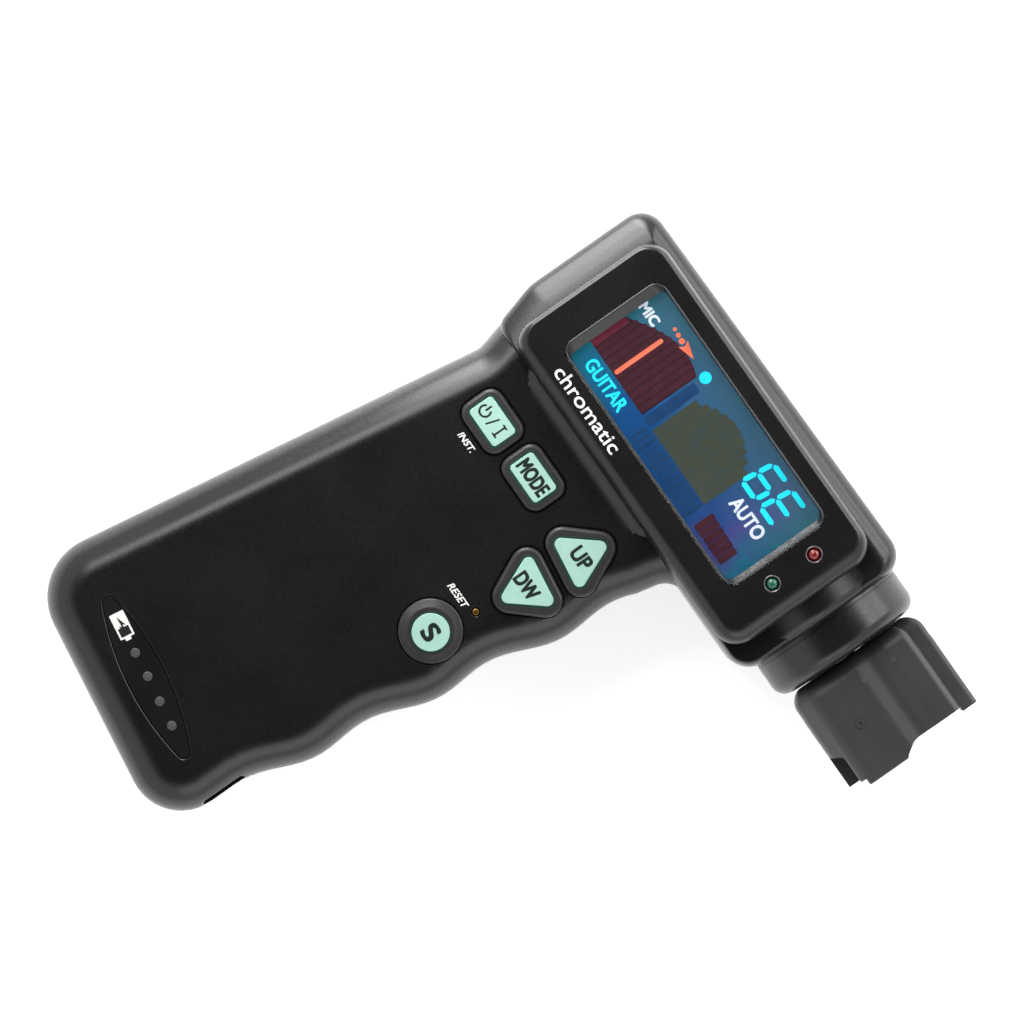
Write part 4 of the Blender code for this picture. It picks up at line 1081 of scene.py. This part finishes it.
class TUNER_OT_display(bpy.types.Operator):
    """Display window, its bevelled frame and the lit picture on the liquid-crystal cell"""

    bl_idname = "tuner.display"
    bl_label = "Display"

    def execute(self, context):
        x0, y0, x1, y1 = WINDOW
        low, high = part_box("lcd_glass")
        cell = block((*LCD_AREA[:2], low.z / MM), (*LCD_AREA[2:], high.z / MM), 0.15, 2)
        piece("display_cell", cell, LOOKS["field"], "housing", ["lcd_glass"])

        outer = box_corners(x0 + 0.1, y0 + 0.1, x1 - 0.1, y1 - 0.1, WINDOW_CORNER - 0.1, 8)
        inner = (0.35, 0.8, 0.35, 1.4)     # width of the bevel: low, nose, high, back
        rings = [(33.3, 0.0, None), (34.4, 0.0, None), (34.56, 0.06, None),
                 (34.62, 0.2, None), (34.56, 0.34, None), (34.4, 0.4, None),
                 (33.35, 1.5, inner), (33.3, 1.55, inner)]
        frame_solid = loft([lifted(traced(drawn_in(outer, inset, weights)), z)
                            for z, inset, weights in rings])
        tool = loft([lifted(traced(drawn_in(outer, 1.5, inner)), z) for z in (30.0, 36.0)])
        piece("window_bezel_frame", shaped(frame_solid, [("DIFFERENCE", tool)]), LOOKS["bezel"],
              "housing", ["window_bezel"])
        lens = slab(traced(box_corners(x0 + 0.4, y0 + 0.4, x1 - 0.4, y1 - 0.4, 2.1, 6)), 32.1,
                    LENS_TOP, 0.1)
        piece("display_window", lens, LOOKS["acrylic"], "housing", ["display_lens"])

        def picture(name, work, look):
            piece("display_" + name, work, LOOKS[look], "housing", (), flat=False)

        def meter_top(share):
            return 1.4 + 4.6 * math.sin(2.1 * share + 0.1)
        meter = fan(14.9, 29.2, -6.5, meter_top, 10, 0.3, 1)
        meter_back = [(13.2, -6.5), (29.2, -6.5)]
        meter_back += [(29.2 - 1.43 * step, meter_top(1.0 - step / 10.0)) for step in range(11)]
        meter_back.append((13.2, 0.9))
        picture("meter_bars", joined(meter), "maroon")
        picture("meter_field", film(meter_back, 0), "dark_maroon")
        picture("meter_first_bar", strip(13.3, -6.5, 14.7, 1.0, 0.3, 1), "bright_red")
        picture("needle", film(traced(box_corners(20.1, -6.2, 20.9, 4.0, 0.4, 4)), 3), "orange")
        arrow = [film(round_outline(20.2 + 1.2 * step, 6.8 - 0.1 * step, 0.34 + 0.1 * step, 16), 2)
                 for step in range(3)]
        arrow.append(film([(23.1, 5.5), (26.4, 6.5), (23.1, 7.5), (23.7, 6.5)], 2))
        picture("arrow", joined(arrow), "orange")
        picture("marker", film(round_outline(30.2, 6.3, 1.1, 32), 2), "cyan")
        olive = fan(32.4, 48.3, -6.6, lambda s: 2.2 + 3.8 * math.sin(math.pi * s), 10, 0.05, 1)
        picture("side_meter", joined(olive), "olive")
        shade = fan(31.0, 48.6, -10.5, lambda s: -7.1 + 0.2 * s, 14, 0.35, 0)
        shade.append(strip(29.7, -6.5, 31.7, 4.2, 0.3, 0))
        picture("dim_bars", joined(shade), "navy")
        patch = fan(50.2, 58.6, -10.3, lambda s: -6.2 - 0.4 * s, 6, 0.12, 1)
        picture("lower_meter", joined(patch), "maroon")
        figures = joined([segment_digit(48.6, 1.2, 4.0, 6.2, "acdefg"),
                          segment_digit(54.2, 1.2, 4.0, 6.2, "adefg")])
        picture("figures", figures, "cyan")
        base = LCD_TOP + 0.14
        picture("word_source", lettering("MIC", 15.5, 4.7, base, 1.8, 4.2, 0.05, 0, 0.09),
                "white_glow")
        picture("word_target", lettering("GUITAR", 21.3, -8.6, base, 2.4, 10.2, 0.05, 0, 0.09),
                "cyan")
        picture("word_state", lettering("AUTO", 54.5, -1.75, base, 2.5, 8.0, 0.05, 0, 0.09),
                "white_glow")
        return {"FINISHED"}


class TUNER_OT_status_leds(bpy.types.Operator):
    """Red and green status lights, domed, each in a thin satin ring"""

    bl_idname = "tuner.status_leds"
    bl_label = "Status lights"

    def execute(self, context):
        for name, y in STATUS_LEDS.items():
            centre = at(STATUS_X, y, 0.0)
            dome = [(0.0, 34.71)] + arc(0.0, 33.5, STATUS_RADIUS, 80, 0, 8)
            flange = STATUS_RADIUS + 0.4
            dome += [(STATUS_RADIUS, 28.6), (flange, 28.6), (flange, 27.5), (0.0, 27.5)]
            look = LOOKS["red_lens" if name == "led_red" else "green_lens"]
            piece(name + "_lens", spun(dome, centre, (0, 0, 1), 48), look, "housing", [name])
            ring = spun(arc(1.4, 34.44, 0.11, 0, 360, 10)[:-1], centre, (0, 0, 1), 48, True)
            piece(name + "_ring", ring, LOOKS["lens_ring"], "housing", ())
        return {"FINISHED"}

# --- Keys ----------------------------------------------------------------------------------


def key_body(corners, centre, tilt):
    """A key's rubber body: straight side and soft shoulder; its inlay sits sunk into the top."""
    shoulder = 0.75
    levels = [(25.0, -0.3), (25.35, -0.3), (25.4, 0.0), (KEY_TOP - shoulder, 0.0)]
    for step in range(1, 7):
        angle = math.pi / 2.0 * step / 6.0
        levels.append((KEY_TOP - shoulder + shoulder * math.sin(angle),
                       shoulder * (1.0 - math.cos(angle))))
    return loft([lifted(turned_by(traced(drawn_in(corners, inset)), centre, tilt), z)
                 for z, inset in levels])


def power_symbol(x, y, z):
    """The common on/off sign: an open ring with a bar, a slash and an upright bar."""
    work = bmesh.new()
    inner, outer = 0.84, 1.2
    rings = [work.verts.new(at(x, y + radius, z + lift))
             for radius, lift in ((inner, 0.0), (outer, 0.0), (outer, 0.03), (inner, 0.03))]
    profile = [work.edges.new(pair) for pair in zip(rings, rings[1:] + rings[:1])]
    face = work.faces.new(rings)
    bmesh.ops.rotate(work, verts=work.verts, cent=at(x, y, z),
                     matrix=Matrix.Rotation(math.radians(-38.0), 3, "Z"))
    bmesh.ops.spin(work, geom=[face] + profile + rings, cent=at(x, y, z), axis=(0, 0, 1),
                   angle=math.radians(-284.0), steps=28, use_merge=False, use_duplicate=False,
                   dvec=(0, 0, 0))
    bmesh.ops.recalc_face_normals(work, faces=work.faces)

    def bar(x0, y0, x1, y1, lean=0.0):
        return slab([(x0, y0), (x1, y0), (x1 + lean, y1), (x0 + lean, y1)], z, z + 0.03)
    marks = [work, bar(x - 0.18, y + 0.1, x + 0.18, y + 1.45),
             bar(x + 1.75, y - 1.25, x + 2.07, y + 1.25, 0.8),
             bar(x + 4.2, y - 1.15, x + 4.55, y + 1.15),
             bar(x + 3.8, y - 1.35, x + 4.95, y - 1.05), bar(x + 3.8, y + 1.05, x + 4.95, y + 1.35)]
    return joined(marks)


class TUNER_OT_keys(bpy.types.Operator):
    """Five keys: smoked rubber bodies, mint inlays ringed by teal painted shade on their side
    walls, and plain legends
    """

    bl_idname = "tuner.keys"
    bl_label = "Keys"

    def execute(self, context):
        top = KEY_TOP
        legends = {"mode": ("MODE", 6.7, 2.6), "up": ("UP", 3.8, 2.6), "down": ("DW", 4.8, 2.6)}
        offsets = {"up": (0.1, -0.9), "down": (-0.1, 0.9)}
        for name, (centre, tilt, corners, inlay) in key_forms().items():
            body = "key_" + name
            piece(body + "_rubber", key_body(corners, centre, tilt), LOOKS["rubber"], body,
                  [body])
            # Teal rim round the mint inlay: its side wall, coloured dark teal as painted shade.
            shade_rim = slab(turned_by(traced(drawn_in(inlay, -0.2)), centre, tilt), top - 0.3,
                        top + 0.03, 0.02, 1)
            piece(body + "_trim", shade_rim, LOOKS["shade_rim"], body, ())
            pad = slab(turned_by(traced(drawn_in(inlay, 0.2)), centre, tilt), top - 0.2, top + 0.16,
                       0.12, 4)
            piece(body + "_pad", pad, LOOKS["mint"], body, [body + "_inlay"])
            if name in legends:
                text, width, height = legends[name]
                shift = offsets.get(name, (0.0, 0.0))
                work = lettering(text, centre[0] + shift[0], centre[1] + shift[1], top + 0.15,
                                 height, width, 0.03, 0, 0.12)
            else:
                work = power_symbol(centre[0] - 2.25, centre[1], top + 0.15)
            piece(body + "_legend", work, LOOKS["legend"], body, (), flat=False)

        x, y = SAVE_KEY
        profile = [(0, 28.9), (3.7, 28.9), (3.95, 29.0), (4.3, 28.95), (5.0, 28.55)]
        profile += arc(5.3, 28.1, 0.45, 70, 0, 5)
        profile += [(SAVE_RADIUS, 25.4), (6.2, 25.35), (6.2, 25.0), (0, 25.0)]
        piece("key_save_rubber", spun(profile, at(x, y), (0, 0, 1), 96), LOOKS["rubber"],
              "key_save", ["key_save"])
        # Teal rim round the round mint inlay: its side wall, coloured dark teal as painted shade.
        shade_rim = slab(round_outline(x + 0.2, y - 0.1, 3.65, 72), 28.7, 29.08, 0.02, 1)
        piece("key_save_trim", shade_rim, LOOKS["shade_rim"], "key_save", ())
        pad = slab(round_outline(x + 0.2, y - 0.1, 3.35, 72), 28.8, 29.2, 0.12, 4)
        piece("key_save_pad", pad, LOOKS["mint"], "key_save", ["key_save_inlay"])
        work = lettering("S", x + 0.2, y - 0.1, 29.19, 3.2, 2.2, 0.03, 0, 0.14)
        piece("key_save_legend", work, LOOKS["legend"], "key_save", (), flat=False)
        return {"FINISHED"}


class TUNER_OT_prints(bpy.types.Operator):
    """Plain white pad prints on the face"""

    bl_idname = "tuner.prints"
    bl_label = "Prints"

    def execute(self, context):
        prints = {"reset_print": ("RESET", 36.6, -50.9, GRIP_TOP, 1.25, 5.0, 0.25),
                  "input_print": ("INST.", 15.4, -34.3, GRIP_TOP, 1.15, 3.9, 0.25),
                  "model_print": ("chromatic", 23.0, -13.8, BLOCK_TOP, 2.5, 17.5, 0.0)}
        for name, (text, x, y, z, height, width, slant) in prints.items():
            piece(name, lettering(text, x, y, z, height, width, 0.015, slant, 0.03),
                  LOOKS["white_ink"], "housing", (), flat=False)
        return {"FINISHED"}


class TUNER_OT_gauge(bpy.types.Operator):
    """Battery gauge: smoked window, battery sign and four unlit lights"""

    bl_idname = "tuner.gauge"
    bl_label = "Battery gauge"

    def execute(self, context):
        top = GRIP_TOP - 0.12
        glass = loft([lifted(gauge_outline(0.12), 27.0), lifted(gauge_outline(0.12), top - 0.12),
                      lifted(gauge_outline(0.22), top)])
        piece("gauge_window_glass", glass, LOOKS["gauge_glass"], "housing", ["gauge_window"])
        for number, (x, y) in enumerate(GAUGE_LEDS, 1):
            spot = spun([(0, top + 0.05), (0.5, top + 0.045), (0.8, top + 0.02), (0.92, top - 0.05),
                         (0.92, 23.2), (0, 23.2)], at(x, y), (0, 0, 1), 32)
            node = f"gauge_led_{number}"
            piece(node + "_spot", spot, LOOKS["gauge_light"], "housing", [node])

        centre, tilt = (7.3, -102.1), GAUGE_TILT
        case = traced(box_corners(-2.6, -1.35, 2.15, 1.35, 0.15, 2))
        tip = traced(box_corners(2.0, -0.55, 2.65, 0.55, 0.1, 2))
        fill = traced(box_corners(0.2, -1.0, 1.8, 1.0, 0.05, 2))
        flash = [(-1.9, -0.25), (0.1, -0.1), (-0.25, -0.62), (1.5, 0.2), (-0.35, 0.16),
                 (0.0, 0.66)]

        def layer(outline, base):
            return slab(turned_by(outline, centre, tilt), base, base + 0.02)
        piece("gauge_sign_case", joined([layer(case, top), layer(tip, top - 0.005)]),
              LOOKS["white_ink"], "housing", (), flat=False)
        piece("gauge_sign_fill", layer(fill, top + 0.021), LOOKS["black_ink"], "housing", (),
              flat=False)
        piece("gauge_sign_flash", layer(flash, top + 0.042), LOOKS["black_ink"], "housing", (),
              flat=False)
        return {"FINISHED"}

# --- Fasteners, port and inside ------------------------------------------------------------


class TUNER_OT_fasteners(bpy.types.Operator):
    """Six case screws with domed heads and cross recesses, seen from the back"""

    bl_idname = "tuner.fasteners"
    bl_label = "Case screws"

    def execute(self, context):
        for number, (x, y) in enumerate(SCREWS, 1):
            profile = [(0.0, 13.9), (0.85, 13.6), (0.85, 2.9), (1.8, 2.9)]
            profile += arc(1.3, 1.6, 0.5, 0, -90, 4) + [(0.0, 1.1)]
            screw = spun(profile, at(x, y), (0, 0, 1), 32)
            cross = []
            for turn in (20.0 + 25.0 * number, 110.0 + 25.0 * number):
                bar = turned_by(traced(box_corners(-1.05, -0.2, 1.05, 0.2, 0.1, 2)), (x, y), turn)
                tip = turned_by(traced(box_corners(-0.4, -0.1, 0.4, 0.1, 0.05, 2)), (x, y), turn)
                cross.append(("DIFFERENCE", loft([lifted(bar, 0.8), lifted(tip, 2.0)])))
            node = f"case_screw_{number}"
            piece(node + "_turned", shaped(screw, cross), LOOKS["steel"], "housing", [node])
        return {"FINISHED"}


class TUNER_OT_port(bpy.types.Operator):
    """Charging socket: a drawn shell with a contact tongue"""

    bl_idname = "tuner.port"
    bl_label = "Charging socket"

    def execute(self, context):
        low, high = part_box("charging_socket")
        middle = (low + high) / 2.0
        start, end = low.x, high.x
        outer, inner = box_corners(-4.45, -1.65, 4.45, 1.65, 1.6), box_corners(
            -4.1, -1.3, 4.1, 1.3, 1.25)

        def ring(corners, x, inset=0.0):
            return [Vector((x, middle.y + a * MM, middle.z + b * MM))
                    for a, b in traced(drawn_in(corners, inset))]
        edge = 0.15 * MM
        shell = loft([ring(outer, start), ring(outer, end - edge), ring(outer, end, 0.1)])
        hollow = loft([ring(inner, start + 1.0 * MM), ring(inner, end + 1.0 * MM)])
        piece("charging_socket_shell", shaped(shell, [("DIFFERENCE", hollow)]), LOOKS["steel"],
              "housing", ["charging_socket"])
        tongue = box_corners(-3.3, -0.35, 3.3, 0.35, 0.2, 2)
        work = loft([ring(tongue, start + 0.8 * MM), ring(tongue, end - 1.0 * MM),
                     ring(tongue, end - 0.8 * MM, 0.1)])
        piece("charging_socket_tongue", work, LOOKS["black_hole"], "housing", ())
        return {"FINISHED"}


class TUNER_OT_reset(bpy.types.Operator):
    """Brass-coloured reset plunger in its pinhole"""

    bl_idname = "tuner.reset"
    bl_label = "Reset plunger"

    def execute(self, context):
        profile = [(0.0, 28.1)] + arc(0.4, 27.85, 0.25, 90, 0, 5) + [(0.65, 25.6), (0.0, 25.6)]
        piece("reset_plunger_turned", spun(profile, at(*RESET), (0, 0, 1), 32), LOOKS["brass"],
              "reset", ["reset_plunger"])
        return {"FINISHED"}


INNER_LOOKS = {
    "board": ("display_board", "main_board"),
    "diffuser": ("lcd_holder", "light_panel"),
    "grey": ("motor_end_cap", "ring_gear", "gearbox_back", "gearbox_front", "key_mat"),
    "can": ("motor_can", "microphone"),
    "steel": ("reset_switch", "planet_carrier"),
    "shaft": ("output_shaft",),
    "brass": ("motor_pinion",),
    "bronze": ("shaft_bush",),
    "nylon": ("planet_gear_1", "planet_gear_2", "planet_gear_3", "thrust_washer"),
    "wrap": ("battery_cell",),
    "foam": ("cell_pad",),
}


class TUNER_OT_inside(bpy.types.Operator):
    """Finishes of the drive, boards and cell that stay as the frame makes them"""

    bl_idname = "tuner.inside"
    bl_label = "Inside"

    def execute(self, context):
        for look, nodes in INNER_LOOKS.items():
            for node in nodes:
                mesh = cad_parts[node].data
                mesh.materials.clear()
                mesh.materials.append(LOOKS[look])
        return {"FINISHED"}

# --- Stage ---------------------------------------------------------------------------------


# Brightness of the studio's walls and ceiling, by the height of a direction above the floor:
# pale walls, dark ceiling, so that flat faces stay black and rounded edges catch the light.
SKY = ((0.0, 0.7), (0.3, 1.0), (0.68, 0.95), (0.84, 0.06), (1.0, 0.0))
SKY_STRENGTH = 1.1
FLOOR_SIZE = 3.0           # half a side, metres

# The softboxes: place, size, power in watts and the point that each faces.
PART_MIDDLE = (30.0, -35.0, 15.0)
SOFTBOXES = {
    "softbox_tail": ((-75.0, 12.0, 65.0), (70.0, 90.0), 0.14, (0.0, 0.0, 27.0)),
    "softbox_back": ((-260.0, 30.0, 470.0), (320.0, 170.0), 0.9, PART_MIDDLE),
    "softbox_low": ((-240.0, 95.0, 130.0), (150.0, 150.0), 0.4, (0.0, 0.0, 25.0)),
    "softbox_rim": ((40.0, 330.0, 110.0), (300.0, 110.0), 0.35, PART_MIDDLE),
    "softbox_nose": ((420.0, -160.0, 300.0), (380.0, 240.0), 0.25, PART_MIDDLE),
    "softbox_high": ((60.0, 420.0, 340.0), (460.0, 150.0), 0.9, PART_MIDDLE),
}

CAMERA_PLACE = (30.02, -34.79, 1624.0)
CAMERA_DISTANCE = 1600.0
CAMERA_TURN = 55.0         # degrees about the upright
FRAME_WIDTH = 179.649      # width that the camera sees, at its distance
SENSOR_WIDTH = 36.0


class TUNER_OT_stage(bpy.types.Operator):
    """Pale floor, soft light and a long lens straight above the face"""

    bl_idname = "tuner.stage"
    bl_label = "Stage"

    def execute(self, context):
        scene = context.scene
        scene.view_settings.view_transform = "Standard"
        floor_look, shader = surface("pale_paper_floor", "FAFAFA", 0.9, Emission_Strength=0.6,
                                     Emission_Color=linear("FFFFFF"))
        grain_bump(floor_look, shader, 2.0, 0.02)
        work = bmesh.new()
        bmesh.ops.create_grid(work, x_segments=2, y_segments=2, size=FLOOR_SIZE)
        mesh = bpy.data.meshes.new("floor")
        work.to_mesh(mesh)
        work.free()
        mesh.materials.append(floor_look)
        floor = bpy.data.objects.new("floor", mesh)
        scene.collection.objects.link(floor)

        world = bpy.data.worlds.new("studio")
        world.use_nodes = True
        scene.world = world
        tree = world.node_tree
        background = tree.nodes["Background"]
        place = tree.nodes.new("ShaderNodeTexCoord")
        split = tree.nodes.new("ShaderNodeSeparateXYZ")
        ramp = tree.nodes.new("ShaderNodeValToRGB")
        tree.links.new(place.outputs["Generated"], split.inputs["Vector"])
        tree.links.new(split.outputs["Z"], ramp.inputs["Fac"])
        tree.links.new(ramp.outputs["Color"], background.inputs["Color"])
        paint_ramp(ramp, [(height, (value, value, value, 1.0)) for height, value in SKY])
        background.inputs["Strength"].default_value = SKY_STRENGTH

        for name, (place_mm, size_mm, power, aim) in SOFTBOXES.items():
            data = bpy.data.lights.new(name, "AREA")
            data.shape = "RECTANGLE"
            data.size, data.size_y = (side * MM for side in size_mm)
            data.energy = power
            lamp = bpy.data.objects.new(name, data)
            lamp.location = at(*place_mm)
            lamp.rotation_mode = "QUATERNION"
            lamp.rotation_quaternion = (lamp.location - at(*aim)).to_track_quat("Z", "Y")
            lamp.visible_camera = False
            scene.collection.objects.link(lamp)

        camera = bpy.data.cameras.new("camera")
        camera.sensor_width = SENSOR_WIDTH
        camera.lens = SENSOR_WIDTH * CAMERA_DISTANCE / FRAME_WIDTH
        camera.clip_end = 20.0
        eye = bpy.data.objects.new("camera", camera)
        eye.location = at(*CAMERA_PLACE)
        eye.rotation_euler = (0.0, 0.0, math.radians(CAMERA_TURN))
        scene.collection.objects.link(eye)
        scene.camera = eye
        return {"FINISHED"}


class TUNER_PT_panel(bpy.types.Panel):
    """Lists the pieces and their settings"""

    bl_idname = "TUNER_PT_panel"
    bl_label = "Peg-winding tuner"
    bl_space_type = "VIEW_3D"
    bl_region_type = "UI"
    bl_category = "Tuner"

    def draw(self, context):
        column = self.layout.column()
        for name in TunerSettings.__annotations__:
            column.prop(context.scene.tuner, name)
        for operator in OPERATORS:
            column.operator(operator.bl_idname)


OPERATORS = (TUNER_OT_shells, TUNER_OT_collar, TUNER_OT_winder, TUNER_OT_display,
             TUNER_OT_status_leds, TUNER_OT_keys, TUNER_OT_prints, TUNER_OT_gauge,
             TUNER_OT_fasteners, TUNER_OT_port, TUNER_OT_reset, TUNER_OT_inside, TUNER_OT_stage)
CLASSES = (TunerSettings, *OPERATORS, TUNER_PT_panel)


def register():
    for cls in CLASSES:
        bpy.utils.register_class(cls)
    bpy.types.Scene.tuner = PointerProperty(type=TunerSettings)


def unregister():
    del bpy.types.Scene.tuner
    for cls in reversed(CLASSES):
        bpy.utils.unregister_class(cls)


def main():
    register()
    make_looks()
    for operator in OPERATORS:
        group, name = operator.bl_idname.split(".")
        getattr(getattr(bpy.ops, group), name)()


if __name__ == "__main__":
    main()
